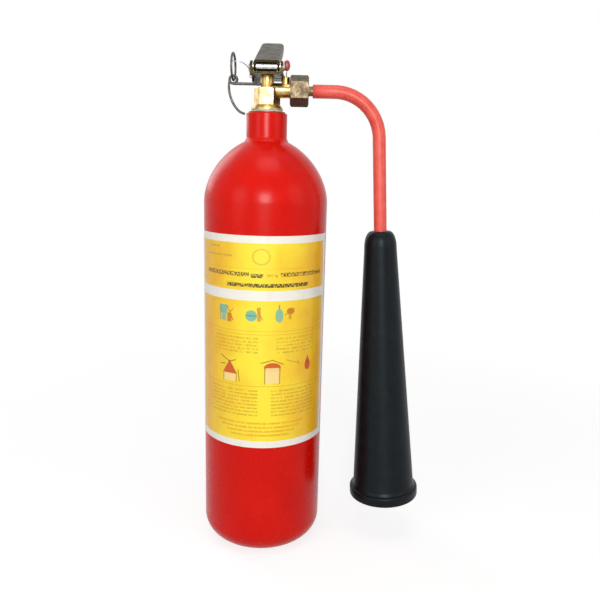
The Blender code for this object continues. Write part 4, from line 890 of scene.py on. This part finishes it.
def world():
    """A white background, over a dim even light on the object."""
    made = bpy.data.worlds.new("studio")
    bpy.context.scene.world = made
    made.use_nodes = True
    tree = made.node_tree
    tree.nodes.remove(tree.nodes["Background"])
    dim = glowing(tree, "ShaderNodeBackground", FILL_LIGHT)
    white = glowing(tree, "ShaderNodeBackground", 1.0)
    choice = tree.nodes.new("ShaderNodeMixShader")
    tree.links.new(sees_background(tree), choice.inputs[0])
    tree.links.new(dim.outputs[0], choice.inputs[1])
    tree.links.new(white.outputs[0], choice.inputs[2])
    tree.links.new(choice.outputs[0], tree.nodes["World Output"].inputs["Surface"])


def lamp(name, place, aim, wide, tall, power):
    """A rectangular lamp; sizes in metres, power in watts."""
    light = bpy.data.lights.new(name, "AREA")
    light.shape = "RECTANGLE"
    light.size = wide
    light.size_y = tall
    light.energy = power
    made = bpy.data.objects.new(name, light)
    made.location = place
    made.rotation_euler = (Vector(aim) - Vector(place)).to_track_quat("-Z", "Y").to_euler()
    bpy.context.scene.collection.objects.link(made)


def lights():
    middle = (CAD_BOX[0] + CAD_BOX[1]) / 2
    lamp("key", (0.05, -1.60, 0.70), middle, 0.46, 0.50, 16.5)
    lamp("left", (-1.10, -1.10, 0.70), middle, 0.60, 0.90, 4.0)
    lamp("side", (1.30, -0.70, 0.75), middle, 0.70, 0.90, 2.5)
    lamp("streak_right", (0.02, -1.58, 0.52), (0, 0, 0.40), 0.07, 1.00, 0.45)
    lamp("streak_left", (-0.15, -1.58, 0.52), (0, 0, 0.40), 0.04, 1.00, 0.20)
    lamp("top", (0.10, -0.35, 1.60), middle, 0.70, 0.50, 3.2)
    lamp("back", (-0.90, 0.90, 0.90), middle, 0.70, 0.90, 4.0)


def camera():
    made = bpy.data.cameras.new("camera")
    made.lens = LENS
    made.sensor_width = SENSOR
    made.clip_start = CLIP_START
    placed = bpy.data.objects.new("camera", made)
    bpy.context.scene.collection.objects.link(placed)
    ahead = Vector((0, math.cos(CAMERA_PITCH), -math.sin(CAMERA_PITCH)))
    right = Vector((1, 0, 0))
    up = right.cross(ahead)
    rolled_right = right * math.cos(CAMERA_ROLL) + up * math.sin(CAMERA_ROLL)
    rolled_up = up * math.cos(CAMERA_ROLL) - right * math.sin(CAMERA_ROLL)
    turn = Matrix((rolled_right, rolled_up, -ahead)).transposed().to_4x4()
    placed.matrix_world = Matrix.Translation(CAMERA_PLACE) @ turn
    bpy.context.scene.camera = placed


def build():
    bpy.context.scene.view_settings.view_transform = "Standard"
    cylinder(red_paint())
    label()
    discharge_tube(tube_coating())
    horn(horn_plastic())
    dress_all()
    stage()
    world()
    lights()
    camera()


build()
